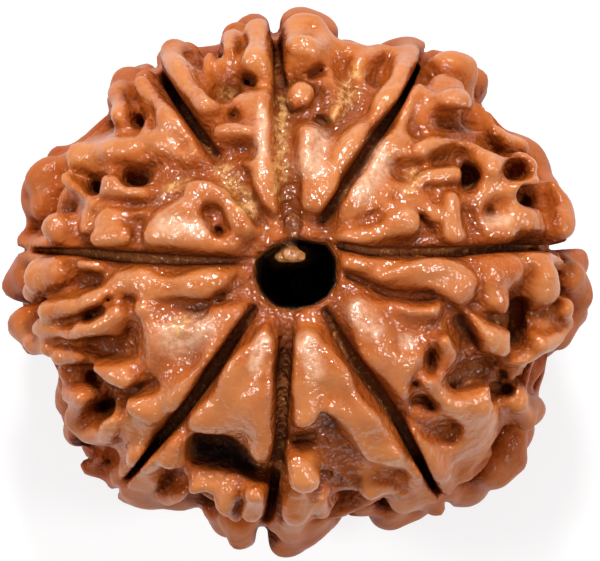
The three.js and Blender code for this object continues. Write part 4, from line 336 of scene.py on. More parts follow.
# Pits: [height of the floor, [[x, y, radius], ...]]
PITS = [
    [-0.6, [[0.85, 7.35, 0.14], [1.2, 7.2, 0.18]]],
    [-0.2, [[0.5, 9.35, 0.12], [1.0, 9.6, 0.14]]],
    [-0.1, [[8.7, 3.1, 0.15]]],
    [-1.8, [[7.75, 4.9, 0.14], [7.85, 4.65, 0.18], [7.75, 4.4, 0.12]]],
    [-1.4, [[10.2, 3.75, 0.24], [10.6, 3.7, 0.2]]],
    [-1.6, [[8.1, 7.35, 0.2]]],
    [-0.3, [[2.2, 0.15, 0.1], [3.1, -0.25, 0.12], [4.0, -0.7, 0.14], [5.2, -0.88, 0.15],
            [5.9, -0.85, 0.12]]],
    [-1.8, [[10.1, -1.3, 0.26], [10.15, -2.2, 0.3], [10.0, -2.8, 0.24]]],
    [0.2, [[12.4, -0.4, 0.15]]],
    [-0.3, [[6.0, -3.4, 0.08], [6.05, -4.1, 0.1]]],
    [0.1, [[5.25, -4.8, 0.14]]],
    [-0.6, [[5.25, -5.6, 0.08], [5.7, -5.55, 0.1], [6.1, -5.9, 0.08]]],
    [-1.1, [[9.1, -5.15, 0.22], [9.7, -5.2, 0.16]]],
    [-0.9, [[9.4, -4.5, 0.2]]],
    [-2.4, [[-4.5, -7.7, 0.44], [-3.6, -7.9, 0.58], [-2.9, -8.3, 0.45], [-2.2, -8.85, 0.2],
            [-1.3, -8.95, 0.18]]],
    [-1.8, [[-4.7, -8.2, 0.3], [-3.2, -8.5, 0.3]]],
    [0.0, [[-6.75, -4.8, 0.08], [-7.4, -5.1, 0.07]]],
    [-1.6, [[-9.2, -6.05, 0.16], [-8.85, -5.95, 0.18]]],
    [-1.2, [[-9.7, -4.6, 0.22], [-9.4, -4.8, 0.16]]],
    [0.0, [[-9.6, -1.75, 0.07], [-9.0, -1.45, 0.07]]],
    [0.3, [[-8.65, -0.98, 0.08]]],
    [-0.1, [[-3.6, -0.9, 0.14]]],
    [-0.3, [[-3.65, 2.15, 0.14]]],
    [-1.7, [[-7.7, 4.6, 0.24], [-7.3, 4.6, 0.22]]],
    [-1.5, [[-9.4, 4.25, 0.22]]],
    [-1.1, [[-7.45, 7.4, 0.09], [-7.4, 7.15, 0.09]]],
    [-0.6, [[-2.45, 9.15, 0.08], [-2.15, 9.0, 0.08]]],
    [-0.6, [[-2.9, 8.9, 0.12], [-3.3, 8.6, 0.14]]],
    [-0.1, [[-3.0, 7.45, 0.14]]],
]
# Hollows that keep golden fibre: [[x, y, radius], ...]
GOLDEN = [
    [[2.2, 8.5, 0.5], [1.6, 7.4, 0.3]],
    [[2.6, 9.4, 0.35]],
    [[5.0, 4.1, 0.3], [5.3, 4.8, 0.3]],
    [[-3.4, 4.8, 0.4], [-2.3, 3.2, 0.4]],
    [[-5.3, -2.2, 0.5]],
    [[-6.2, 3.9, 0.2], [-5.2, 4.4, 0.2]],
    [[-3.3, 8.4, 0.3]],
    [[-0.9, 0.95, 0.4], [0.1, 0.95, 0.4]],
    [[-0.9, 4.0, 0.35], [-0.8, 8.0, 0.3]],
]
# Crest patches lightened as painted sheen: [[x, y, radius], ...]
PAINTED_SHEEN_PATCHES = [
    [[0.5, 5.2, 0.6], [0.8, 6.3, 0.5]],
    [[2.8, 3.8, 0.4], [3.7, 5.2, 0.5], [3.4, 6.2, 0.3]],
    [[-5.6, -2.7, 0.8], [-4.4, -2.2, 0.5]],
    [[0.3, -2.9, 0.4], [0.7, -4.2, 0.4]],
    [[-1.65, -2.8, 0.3], [-2.0, -4.0, 0.3]],
    [[-6.2, 2.4, 0.4], [-4.6, 2.2, 0.4]],
    [[-1.7, 5.6, 0.3], [-1.7, 7.6, 0.2]],
    [[8.6, 2.6, 0.3], [9.4, 2.6, 0.3]],
    [[2.6, -1.5, 0.5], [3.4, -2.4, 0.4]],
    [[4.9, -2.9, 0.35]],
]
# Places filled with black resin: [[x, y, radius], ...]
RESIN = [
    [[-4.4, -7.8, 0.5], [-3.0, -8.1, 0.6], [-2.2, -8.7, 0.3]],
]
# The channel of the hole: [height, sideways shift x, y, share of the rim's width]
CHANNEL = [
    [-11.5, 0.0, 0.0, 1.0],
    [-7.0, -0.1, 0.1, 0.86],
    [-3.0, -0.7, 0.6, 0.45],
    [2.0, 0.6, -0.7, 0.45],
    [6.0, 0.1, -0.1, 0.9],
    [11.5, 0.0, 0.0, 1.04],
]
# Crumbs of pith that cross the mouth of the hole: [[x, y, z, radius], ...]
PITH = [
    [[-0.5, 2.4, 7.6, 0.4], [-0.5, 1.7, 8.2, 0.36], [-0.45, 1.15, 8.6, 0.36]],
    [[-0.9, 1.0, 8.5, 0.27], [-0.45, 1.1, 8.75, 0.36], [0.05, 1.0, 8.6, 0.27]],
]
# The lobe of the underside that repeats each lobe of the top
UNDER_LOBES = [4, 5, 6, 7, 3, 2, 1, 0]

# Driving dimensions in mm. All forms stand on a ground surface, a flattened and slightly boxy ellipsoid.
HALF_HEIGHT = 9.7
RADIUS_X = 11.7
RADIUS_Y = 10.6
# Exponent of the ground surface: 2 is a plain ellipsoid, more is boxier
FULLNESS = 2.5
# The forms near the rim stand out more, by up to this much, from this share of the radius on
SHOULDER = 0.5
SHOULDER_START = 0.75
# A hollow is cut from this far above the ground, and its axis leans from the ground's normal to upright
MOUTH = 0.7
LEAN = 4.0
# A ridge's foot and a hollow's mouth go on widening up to this far from the crest or floor
FLARE_REACH = 1.5
# Spare room that the grid keeps around a raised form and around a sunk one, whose top it follows up to here
RAISED_SPARE = 0.6
SUNK_SPARE = 0.2
SUNK_TOP = 3.0
# The lowest ridges of the underside end in this plane
REST_HEIGHT = -10.1
# Half the size of the block of grid points around the stone
BLOCK_HALF = np.array([14.4, 13.5, 11.2])
STEP = 0.19
# The skin is thinned out to this many triangles
MOST_TRIANGLES = 195000
# Height of the stone in mm, and the middle of its body, in metres, where the lamps are aimed
STONE_HEIGHT = 21.0
STONE_MIDDLE = (0.0, 0.0, 0.012)
MM = 0.001


def ellipse_radius(theta):
    return RADIUS_X * RADIUS_Y / np.hypot(RADIUS_Y * np.cos(theta), RADIUS_X * np.sin(theta))


# The point above (x, y) that lies this far outside the ground surface
def ground_place(x, y, rise, side=1.0):
    reach = float(ellipse_radius(math.atan2(y, x))) + rise
    u = min(math.hypot(x, y) / reach, 1.0)
    z = (HALF_HEIGHT + rise) * max(1.0 - u ** FULLNESS, 0.0) ** (1.0 / FULLNESS)
    return (x, y, side * z)


# The point of the belt at this angle and height that lies this far outside the ground surface
def belt_place(angle, z, rise):
    reach = float(ellipse_radius(angle)) + rise
    u = min(abs(z) / (HALF_HEIGHT + rise), 1.0)
    rho = reach * max(1.0 - u ** FULLNESS, 0.0) ** (1.0 / FULLNESS)
    return (rho * math.cos(angle), rho * math.sin(angle), z)


def ground_normal(x, y, z):
    u = math.hypot(x / RADIUS_X, y / RADIUS_Y) + 1e-9
    v = abs(z) / HALF_HEIGHT + 1e-9
    normal = np.array([
        x / RADIUS_X ** 2 * u ** (FULLNESS - 2),
        y / RADIUS_Y ** 2 * u ** (FULLNESS - 2),
        math.copysign(v ** (FULLNESS - 1) / HALF_HEIGHT, z),
    ])
    return normal / np.linalg.norm(normal)


def shoulder(x, y):
    share = math.hypot(x, y) / float(ellipse_radius(math.atan2(y, x)))
    share = min(max((share - SHOULDER_START) / (1.0 - SHOULDER_START), 0.0), 1.0)
    return SHOULDER * share * share * (3.0 - 2.0 * share)


# Joins two bodies, given as distances, with a fillet of about this width
def smooth_join(a, b, blend):
    h = np.clip(0.5 + 0.5 * (b - a) / blend, 0.0, 1.0)
    return b * (1.0 - h) + a * h - blend * h * (1.0 - h)


# Takes body b out of body a, with an edge rounded by about this width
def smooth_cut(a, b, blend):
    return -smooth_join(-a, b, blend)


# A number between 0 and 1 that looks random and is the same in each run
def draw(seed):
    value = math.sin(seed * 127.1 + 3.7) * 43758.5453
    return value - math.floor(value)


# Distance of the points from the line a-b in plan, and how far along it they lie, from 0 to 1
def line_gap(px, py, a, b):
    ax, ay, bx, by = *a[:2], *b[:2]
    t = np.clip(((px - ax) * (bx - ax) + (py - ay) * (by - ay)) / ((bx - ax) ** 2 + (by - ay) ** 2), 0, 1)
    return np.hypot(px - ax - t * (bx - ax), py - ay - t * (by - ay)), t


# Distance from a groove's middle line, with its half width and floor there
def groove_section(px, py, line):
    gap = None
    for a, b in zip(line[:-1], line[1:]):
        near, t = line_gap(px, py, a, b)
        near_half = a[2] + t * (b[2] - a[2])
        near_floor = a[3] + t * (b[3] - a[3])
        if gap is None:
            gap, half, floor = near, near_half, near_floor
        else:
            nearer = near < gap
            gap = np.where(nearer, near, gap)
            half = np.where(nearer, near_half, half)
            floor = np.where(nearer, near_floor, floor)
    return gap, half, floor


# Distance from an outline in plan, negative inside it
def outline_distance(px, py, outline):
    inside = np.zeros(px.shape, dtype=bool)
    best = None
    for a, b in zip(outline, np.roll(outline, -1, axis=0)):
        gap, t = line_gap(px, py, a, b)
        best = gap if best is None else np.minimum(best, gap)
        crosses = (a[1] > py) != (b[1] > py)
        inside ^= crosses & (px < (b[0] - a[0]) * (py - a[1]) / ((b[1] - a[1]) + 1e-12) + a[0])
    return np.where(inside, -best, best)


def groove_angle(index, reach):
    line = np.array(GROOVES[index % 8])[:, :2]
    angles = np.unwrap(np.arctan2(line[:, 1], line[:, 0]))
    return float(np.interp(reach, np.hypot(line[:, 0], line[:, 1]), angles))


# Where a lobe starts, clockwise, and how wide an angle it takes at this distance from the axis
def lobe_span(index, reach):
    start = groove_angle(index, reach)
    return start, (start - groove_angle(index + 1, reach)) % (2 * math.pi)


# How far the knobs of the outline reach in this direction
def rim_reach(angle):
    best = 0.0
    for x, y, radius in RIM_KNOBS:
        along = x * math.cos(angle) + y * math.sin(angle)
        off = abs(y * math.cos(angle) - x * math.sin(angle))
        if along > 0 and off < radius:
            best = max(best, along + math.sqrt(radius * radius - off * off))
    return best


# The place on the underside that repeats a place of the top, mirrored in its lobe, and the change of scale
def under_point(x, y, radius=0.0):
    reach = math.hypot(x, y)
    theta = math.atan2(y, x)
    for index in range(8):
        start, span = lobe_span(index, reach)
        turn = (start - theta) % (2 * math.pi)
        if turn <= span:
            break
    other, width = lobe_span(UNDER_LOBES[index], reach)
    angle = other - turn / span * width
    scale = min(1.1, (width / span) ** 0.5)
    stretched = reach * float(ellipse_radius(angle) / ellipse_radius(theta))
    inside_rim = rim_reach(angle) - radius * scale - 0.25
    reach = min(stretched, inside_rim)
    return reach * math.cos(angle), reach * math.sin(angle), scale


def turned_under(features):
    turned = []
    for feature in features:
        points = []
        for point in feature[-1]:
            x, y, scale = under_point(*point)
            points.append([x, y] + [radius * scale for radius in point[2:]])
        turned.append(feature[:-1] + [points])
    return turned


# The stone as distances from its skin on a grid of points, negative inside, in mm
class Field:
    def __init__(self, step):
        self.step = step
        self.low = -BLOCK_HALF
        self.count = np.ceil((BLOCK_HALF - self.low) / step).astype(int) + 1
        self.axes = [self.low[i] + step * np.arange(self.count[i]) for i in range(3)]
        x, y, z = np.meshgrid(*self.axes, indexing="ij", sparse=True)
        reach = ellipse_radius(np.arctan2(y, x) + 0 * z)
        ground = (np.hypot(x, y) / reach) ** FULLNESS + (np.abs(z) / HALF_HEIGHT) ** FULLNESS
        ground = ground ** (1.0 / FULLNESS)
        slopes = np.gradient(ground, step)
        size = np.sqrt(slopes[0] * slopes[0] + slopes[1] * slopes[1] + slopes[2] * slopes[2]) + 1e-6
        self.height = ((ground - 1.0) / size).astype(np.float32)
        self.normal = [(slope / size).astype(np.float32) for slope in slopes]
        self.value = self.height.copy()

    # The part of the grid that holds these points with this margin
    def window(self, points, margin):
        points = np.array(points)
        low = points.min(axis=0) - margin
        high = points.max(axis=0) + margin
        first = np.maximum(np.floor((low - self.low) / self.step).astype(int), 0)
        last = np.minimum(np.ceil((high - self.low) / self.step).astype(int) + 1, self.count)
        return tuple(slice(first[i], last[i]) for i in range(3))

    # Distance from a bent, tapered stroke: a round rod, a ridge that goes down into the ground, or a well
    # that goes up into the air
    def stroke(self, centres, radii, form, box, way=None, flare=0.0):
        px, py, pz = np.meshgrid(*[self.axes[i][box[i]] for i in range(3)], indexing="ij", sparse=True)
        nx, ny, nz = way if way is not None else [normal[box] for normal in self.normal]
        pairs = list(zip(centres[:-1], centres[1:], radii[:-1], radii[1:]))
        if not pairs:
            pairs = [(centres[0], centres[0], radii[0], radii[0])]
        best = None
        for a, b, start_radius, end_radius in pairs:
            ax, ay, az = px - a[0], py - a[1], pz - a[2]
            bx, by, bz = b[0] - a[0], b[1] - a[1], b[2] - a[2]
            length = bx * bx + by * by + bz * bz
            dot = ax * bx + ay * by + az * bz
            t = 0.0
            if length > 1e-9 and form == "well":
                along = bx * nx + by * ny + bz * nz
                flat_dot = dot - (ax * nx + ay * ny + az * nz) * along
                t = np.clip(flat_dot / max(length - along * along, 1e-9), 0.0, 1.0)
            elif length > 1e-9:
                t = np.clip(dot / length, 0.0, 1.0)
            vx, vy, vz = ax - t * bx, ay - t * by, az - t * bz
            radius = start_radius + t * (end_radius - start_radius)
            square = vx * vx + vy * vy + vz * vz
            if form == "rod":
                gap = np.sqrt(square) - radius
            else:
                rise = vx * nx + vy * ny + vz * nz
                flat = np.maximum(square - rise * rise, 0.0)
                if form == "ridge":
                    rise = -rise
                below = np.minimum(rise, 0.0)
                gap = np.sqrt(flat + below * below) - radius - flare * np.clip(rise, 0.0, FLARE_REACH)
            best = gap if best is None else np.minimum(best, gap)
        return best

    # Ridges or rods whose crests stand at the given level above the ground
    def add_raised(self, features, form, blend, side, flare=0.0):
        for level, points in features:
            radii = [radius for x, y, radius in points]
            centres = [ground_place(x, y, level - radius + shoulder(x, y), side) for x, y, radius in points]
            box = self.window(centres, max(radii) + RAISED_SPARE + blend + 1.2 * flare)
            gap = self.stroke(centres, radii, form, box, None, flare)
            self.value[box] = smooth_join(self.value[box], gap, blend)

    # Hollows or pits whose floors lie at the given level
    def cut_sunk(self, features, blend, side, flare):
        for level, points in features:
            radii = [radius for x, y, radius in points]
            rises = [MOUTH + shoulder(x, y) for x, y, radius in points]
            tops = np.array([ground_place(x, y, rise, side) for (x, y, radius), rise in zip(points, rises)])
            way = ground_normal(*tops.mean(axis=0)) + np.array([0.0, 0.0, LEAN * side])
            way = way / np.linalg.norm(way)
            centres = [top + way * (level - rise + radius) for top, rise, radius in zip(tops, rises, radii)]
            open_ends = [centre + way * SUNK_TOP for centre in centres]
            margin = max(radii) + blend + SUNK_SPARE + FLARE_REACH * flare
            box = self.window(np.array(centres + open_ends), margin)
            gap = self.stroke(centres, radii, "well", box, way, flare)
            self.value[box] = smooth_cut(self.value[box], gap, blend)

    # Each knob of the outline goes on up and down the belt as a short slanting ridge with lower ends
    def add_rim(self, knobs, blend):
        end_width = 0.85
        end_crest = 0.8
        highest_middle = 0.9
        half_length = (0.3, 1.1)
        widest_slant = 1.4
        for number, (x, y, radius) in enumerate(knobs):
            angle = math.atan2(y, x)
            reach = math.hypot(x, y)
            crest = reach + radius - float(ellipse_radius(angle))
            middle = highest_middle * math.sin(2.4 * number)
            half = half_length[0] + half_length[1] * draw(number + 0.1)
            drift = widest_slant * (draw(number + 0.2) - 0.5) / reach
            end_radius = end_width * radius
            lower = belt_place(angle - drift, middle - half, end_crest * crest - end_radius)
            upper = belt_place(angle + drift, middle + half, end_crest * crest - end_radius)
            centres = [lower, (x, y, middle), upper]
            box = self.window(centres, radius + RAISED_SPARE + blend)
            gap = self.stroke(centres, [end_radius, radius, end_radius], "ridge", box)
            self.value[box] = smooth_join(self.value[box], gap, blend)

    # The grooves go on round the belt as shallow seams, which this low ridge keeps from breaking open
    def add_seams(self, grooves, blend):
        radius = 0.9
        over_floor = 0.3
        fall = 0.06
        heights = (-6.0, -3.0, 0.0, 3.0, 6.0)
        for line in grooves:
            x, y, half, floor = line[-2]
            angle = math.atan2(y, x)
            rise = floor + over_floor - radius
            centres = [belt_place(angle, z, rise - fall * abs(z)) for z in heights]
            box = self.window(centres, radius + RAISED_SPARE + blend)
            gap = self.stroke(centres, [radius] * len(centres), "ridge", box)
            self.value[box] = smooth_join(self.value[box], gap, blend)

    # Plane waves of random direction, with lengths in mm, added up to an even roughness of about 1
    def waves(self, count, shortest, longest, seed):
        x, y, z = np.meshgrid(*self.axes, indexing="ij", sparse=True)
        total = np.zeros(self.value.shape, dtype=np.float32)
        for i in range(count):
            lean = math.acos(2 * draw(seed + i + 0.3) - 1)
            turn = 2 * math.pi * draw(seed + i + 0.4)
            wave = 2 * math.pi / (shortest + (longest - shortest) * draw(seed + i + 0.5))
            a = wave * math.sin(lean) * math.cos(turn)
            b = wave * math.sin(lean) * math.sin(turn)
            c = wave * math.cos(lean)
            total += np.sin(a * x + b * y + c * z + 6.28 * draw(seed + i + 0.6)).astype(np.float32)
        return total / math.sqrt(count / 2)

    # The winding raised net of the belt, which fades out towards the two faces
    def add_net(self, crest, depth):
        cord_half, flank = 0.3, 0.9
        fade_start, fade_width = 0.5, 0.32
        line = np.abs(self.waves(count=14, shortest=3.2, longest=5.2, seed=20))
        deep = np.clip((line - cord_half) / flank, 0.0, 1.0)
        lift = crest - (crest + depth) * deep * deep * (3 - 2 * deep)
        faded = np.clip((np.abs(self.axes[2]) / HALF_HEIGHT - fade_start) / fade_width, 0.0, 1.0)
        weight = 1 - faded * faded * (3 - 2 * faded)
        self.value -= lift * weight[None, None, :].astype(np.float32)

    def add_lumps(self, amount):
        self.value += amount * self.waves(count=9, shortest=1.7, longest=3.3, seed=0)

    def rest_on_flats(self, floor):
        self.value = np.maximum(self.value, (floor - self.axes[2])[None, None, :].astype(np.float32))

    # Wedges whose flat tops follow the ground at their lift, with rounded edges and sloping sides
    def add_plates(self, plates, blend, side):
        side_slope = 0.5
        side_depth = 1.5
        for lift, edge, outline in plates:
            outline = np.array(outline)
            places = [ground_place(x, y, lift, side) for x, y in outline]
            box = self.window(places, 1.0 + RAISED_SPARE)
            px, py = np.meshgrid(self.axes[0][box[0]], self.axes[1][box[1]], indexing="ij")
            across = outline_distance(px, py, outline)[:, :, None]
            up = self.height[box] - lift + edge
            out = across + edge + side_slope * np.clip(up, -side_depth, 0.0)
            gap = np.minimum(np.maximum(out, up), 0.0)
            gap = gap + np.hypot(np.maximum(out, 0.0), np.maximum(up, 0.0)) - edge
            self.value[box] = smooth_join(self.value[box], gap, blend)

    # Outside the rim a groove's floor rises to its last level, so that it doesn't cut the belt open
    def cut_grooves(self, grooves, blend):
        px, py = np.meshgrid(self.axes[0], self.axes[1], indexing="ij")
        outside = np.hypot(px, py) - ellipse_radius(np.arctan2(py, px))
        for line in grooves:
            across, half, floor = groove_section(px, py, line)
            floor = np.maximum(floor, np.minimum(outside + 0.12, line[-1][3]))
            below = np.minimum(self.height - (floor + half)[:, :, None], 0.0)
            gap = np.hypot(across[:, :, None], below) - half[:, :, None]
            self.value = smooth_cut(self.value, gap, blend)

    # The hole keeps the shape of its rim all the way, moved and narrowed along the channel
    def cut_hole(self, rim, channel, blend):
        rim = np.array(rim)
        middle = rim.mean(axis=0)
        heights = [place[0] for place in channel]
        box = self.window([[-3.6, -3.2, -11.0], [3.4, 3.6, 11.0]], 0.0)
        px, py = np.meshgrid(self.axes[0][box[0]], self.axes[1][box[1]], indexing="ij")
        for i in range(box[2].start, box[2].stop):
            z = self.axes[2][i]
            x, y, share = [np.interp(z, heights, [place[j] for place in channel]) for j in (1, 2, 3)]
            gap = outline_distance(px, py, (rim - middle) * share + middle + [x, y])
            plane = self.value[box[0], box[1], i]
            self.value[box[0], box[1], i] = smooth_cut(plane, gap, blend)

    def add_pith(self, strands, blend):
        for strand in strands:
            centres = [point[:3] for point in strand]
            radii = [point[3] for point in strand]
            box = self.window(centres, max(radii) + blend + SUNK_SPARE)
            gap = self.stroke(centres, radii, "rod", box)
            self.value[box] = smooth_join(self.value[box], gap, blend)

    # Values of a grid array at any points, read between the grid points
    def sample(self, array, points):
        spot = np.clip((points - self.low) / self.step, 0.0, np.array(array.shape) - 1.001)
        base = spot.astype(int)
        part = spot - base
        total = np.zeros(len(points))
        for corner in range(8):
            offset = (corner & 1, corner >> 1 & 1, corner >> 2)
            weight = np.ones(len(points))
            for axis in range(3):
                weight *= part[:, axis] if offset[axis] else 1.0 - part[:, axis]
            total += weight * array[base[:, 0] + offset[0], base[:, 1] + offset[1], base[:, 2] + offset[2]]
        return total


# The forms in the order in which they lie on each other. The numbers are widths of fillets and flares.
def build_field(step):
    field = Field(step)
    field.add_net(crest=0.35, depth=1.3)
    field.add_seams(GROOVES, blend=0.5)
    field.add_rim(RIM_KNOBS, blend=0.5)
    top = (PLATES, RIDGES, HOLLOWS, RODS, PITS)
    under = [turned_under(features) for features in top]
    sides = [(1.0, *top), (-1.0, *under)]
    for side, plates, ridges, hollows, rods, pits in sides:
        field.add_plates(plates, blend=0.4, side=side)
        field.add_raised(ridges, "ridge", blend=0.4, side=side, flare=0.5)
        field.cut_sunk(hollows, blend=0.5, side=side, flare=0.25)
    field.add_lumps(0.11)
    field.cut_grooves(GROOVES, blend=0.25)
    for side, plates, ridges, hollows, rods, pits in sides:
        field.add_raised(rods, "rod", blend=0.3, side=side)
        field.cut_sunk(pits, blend=0.3, side=side, flare=0.15)
    field.cut_hole(HOLE_RIM, CHANNEL, blend=0.5)
    field.add_pith(PITH, blend=0.2)
    field.rest_on_flats(REST_HEIGHT)
    return field


# Which points belong to the largest connected skin
def largest_body(quads, count):
    ends = np.concatenate([quads[:, [0, 1]], quads[:, [1, 2]], quads[:, [2, 3]], quads[:, [3, 0]]])
    label = np.arange(count)
    while True:
        lower = np.minimum(label[ends[:, 0]], label[ends[:, 1]])
        fresh = label.copy()
        np.minimum.at(fresh, ends[:, 0], lower)
        np.minimum.at(fresh, ends[:, 1], lower)
        fresh = fresh[fresh]
        if np.array_equal(fresh, label):
            break
        label = fresh
    names, sizes = np.unique(label, return_counts=True)
    return label == names[np.argmax(sizes)]


# The skin where the field is zero
def skin_mesh(field):
    farthest = 3.0
    grid = openvdb.FloatGrid(background=farthest)
    grid.copyFromArray(np.clip(field.value, -farthest, farthest).astype(np.float32))
    points, quads = grid.convertToQuads(isovalue=0.0)
    points = points * field.step + field.low
    kept = largest_body(quads, len(points))
    number = np.cumsum(kept) - 1
    quads = number[quads[kept[quads[:, 0]]]][:, ::-1]
    points = points[kept]
    mesh = bpy.data.meshes.new("rudraksha_skin")
    mesh.from_pydata(points.tolist(), [], quads.tolist())
    return mesh


def thin_out(mesh, most):
    thing = bpy.data.objects.new("whole", mesh)
    bpy.context.collection.objects.link(thing)
    step = thing.modifiers.new("fewer", "DECIMATE")
    step.ratio = most / (2 * len(mesh.polygons))
    step.use_collapse_triangulate = True
    thinned = bpy.data.meshes.new_from_object(thing.evaluated_get(bpy.context.evaluated_depsgraph_get()))
    bpy.data.objects.remove(thing)
    return thinned


def mesh_points(mesh):
    points = np.empty(len(mesh.vertices) * 3)
    mesh.vertices.foreach_get("co", points)
    return points.reshape(-1, 3)


# 1 on the patches of the top, fading to 0 just outside them
def patch_mask(points, patches):
    fade_end = 1.5
    mask = np.zeros(len(points))
    for line in patches:
        line = np.array(line)
        for a, b in zip(line, line[1:] if len(line) > 1 else line):
            span = b[:2] - a[:2]
            t = np.clip(((points[:, :2] - a[:2]) @ span) / max(span @ span, 1e-9), 0.0, 1.0)
            gap = np.linalg.norm(points[:, :2] - a[:2] - t[:, None] * span, axis=1)
            radius = a[2] + t * (b[2] - a[2])
            mask = np.maximum(mask, np.clip(fade_end - gap / radius, 0.0, 1.0))
    return mask * (points[:, 2] > 0)


# What the shell's material reads at each point: whether it lies in the bore, its lift above the ground,
# how sheltered it is, which with the lift sets the painted shade, and the patches of fibre, painted sheen
# and resin
def add_attributes(mesh, field):
    shelter_reaches = (0.5, 1.0, 1.8)
    most_shelter = 1.2
    bore_radius, bore_edge = 2.9, 0.6
    bore_end, bore_end_edge = 9.3, 0.7
    points = mesh_points(mesh)
    slopes = [field.sample(slope, points) for slope in np.gradient(field.value, field.step)]
    way = np.stack(slopes, axis=1)
    way /= np.linalg.norm(way, axis=1, keepdims=True) + 1e-9
    shelter = np.zeros(len(points))
    for reach in shelter_reaches:
        clear = field.sample(field.value, points + way * reach) / reach
        shelter += np.clip(1.0 - clear, 0.0, most_shelter) / len(shelter_reaches)
    rho = np.hypot(points[:, 0], points[:, 1])
    inside = np.clip((bore_radius - rho) / bore_edge, 0.0, 1.0)
    measures = {
        "bore": inside * np.clip((bore_end - np.abs(points[:, 2])) / bore_end_edge, 0.0, 1.0),
        "lift": field.sample(field.height, points),
        "shelter": shelter,
        "golden": patch_mask(points, GOLDEN),
        "painted_sheen": patch_mask(points, PAINTED_SHEEN_PATCHES),
        "resin": patch_mask(points, RESIN),
    }
    for name, values in measures.items():
        layer = mesh.attributes.new(name, "FLOAT", "POINT")
        layer.data.foreach_set("value", values.astype(np.float32))


# An sRGB hex code as linear colour
def linear(code):
    parts = [int(code[i:i + 2], 16) / 255 for i in (1, 3, 5)]
    return (*[p / 12.92 if p <= 0.04045 else ((p + 0.055) / 1.055) ** 2.4 for p in parts], 1.0)


# Adds a node and gives back one of its outputs. Inputs are numbers, colours or the outputs they come from,
# and a colour ramp's stops are [place, colour or grey].
def add_node(tree, kind, inputs, output=0, stops=(), **settings):
    node = tree.nodes.new(kind)
    for name, value in settings.items():
        setattr(node, name, value)
    for key, value in inputs.items():
        if isinstance(value, bpy.types.NodeSocket):
            tree.links.new(value, node.inputs[key])
        else:
            node.inputs[key].default_value = linear(value) if isinstance(value, str) else value
    for number in range(2, len(stops)):
        node.color_ramp.elements.new(0.5)
    for number, (place, colour) in enumerate(stops):
        element = node.color_ramp.elements[number]
        element.position = place
        element.color = linear(colour) if isinstance(colour, str) else (colour, colour, colour, 1.0)
    return node.outputs[output] if node.outputs else None


MATH = "ShaderNodeMath"
RAMP = "ShaderNodeValToRGB"
MIX = "ShaderNodeMix"
BUMP = "ShaderNodeBump"
# Irregular spots of the shell: size in mm, detail, roughness
SPOTS = {
    "broad": (3.57, 3.0, 0.55),
    "blotch": (1.11, 4.0, 0.6),
    "grain": (0.222, 4.0, 0.65),
    "crumb": (0.385, 5.0, 0.7),
    "lumps": (0.385, 1.0, 0.6),
    "ripple": (0.385, 2.0, 0.5),
}


# Noise cells per mm for spots of this many mm
def cells_per_mm(spot):
    return round(1 / spot, 2)


# How deep the shell's colour is: painted shade in sheltered and low places, with blotches and grain
def shade_and_tone_depth(node, spots, marks):
    blotches = node(MATH, {0: spots["blotch"], 1: 0.5}, operation="SUBTRACT")
    blotches = node(MATH, {0: blotches, 1: 0.35}, operation="MULTIPLY")
    grains = node(MATH, {0: spots["grain"], 1: 0.5}, operation="SUBTRACT")
    grains = node(MATH, {0: grains, 1: 0.22}, operation="MULTIPLY")
    # Painted shade: low places and sheltered ones get a deeper, darker colour
    low = node(MATH, {0: 0.65, 1: marks["lift"]}, operation="SUBTRACT")
    low = node(MATH, {0: low, 1: 0.3}, operation="MULTIPLY")
    low = node(MATH, {0: low, 1: -0.05}, operation="MAXIMUM")
    depth = node(MATH, {0: marks["shelter"], 1: 0.66}, operation="MULTIPLY")
    for part in (low, blotches, grains):
        depth = node(MATH, {0: depth, 1: part}, operation="ADD")
    return depth


# Orange-brown crests to dark brown hollows darkened as painted shade, with broad redder areas, and pale
# spots and patches on the crests as painted sheen
def shell_brown(node, spots, marks, depth, painted_sheen):
    # The darker stops of this ramp are painted shade in the hollows
    body = node(RAMP, {0: depth}, stops=[(0.0, "#C4773F"), (0.12, "#B86428"), (0.28, "#A14E17"),
                                         (0.46, "#883F12"), (0.66, "#733612"), (0.88, "#5E2A12")])
    redder = node(RAMP, {0: spots["broad"]}, stops=[(0.4, 0.0), (0.66, 0.45)])
    tone = node(MIX, {0: redder, 6: body, 7: "#A9501F"}, 2, data_type="RGBA")
    # Pale blotches on the crests only, a painted sheen
    pale = node(RAMP, {0: spots["blotch"]}, stops=[(0.52, 0.0), (0.72, 0.3)])
    crest = node(RAMP, {0: marks["shelter"]}, stops=[(0.0, 1.0), (0.12, 0.0)])
    pale = node(MATH, {0: pale, 1: crest}, operation="MULTIPLY")
    tone = node(MIX, {0: pale, 6: tone, 7: "#DDA27A"}, 2, data_type="RGBA")
    # Patches lightened as painted sheen
    return node(MIX, {0: painted_sheen, 6: tone, 7: "#EDBE9A"}, 2, data_type="RGBA")


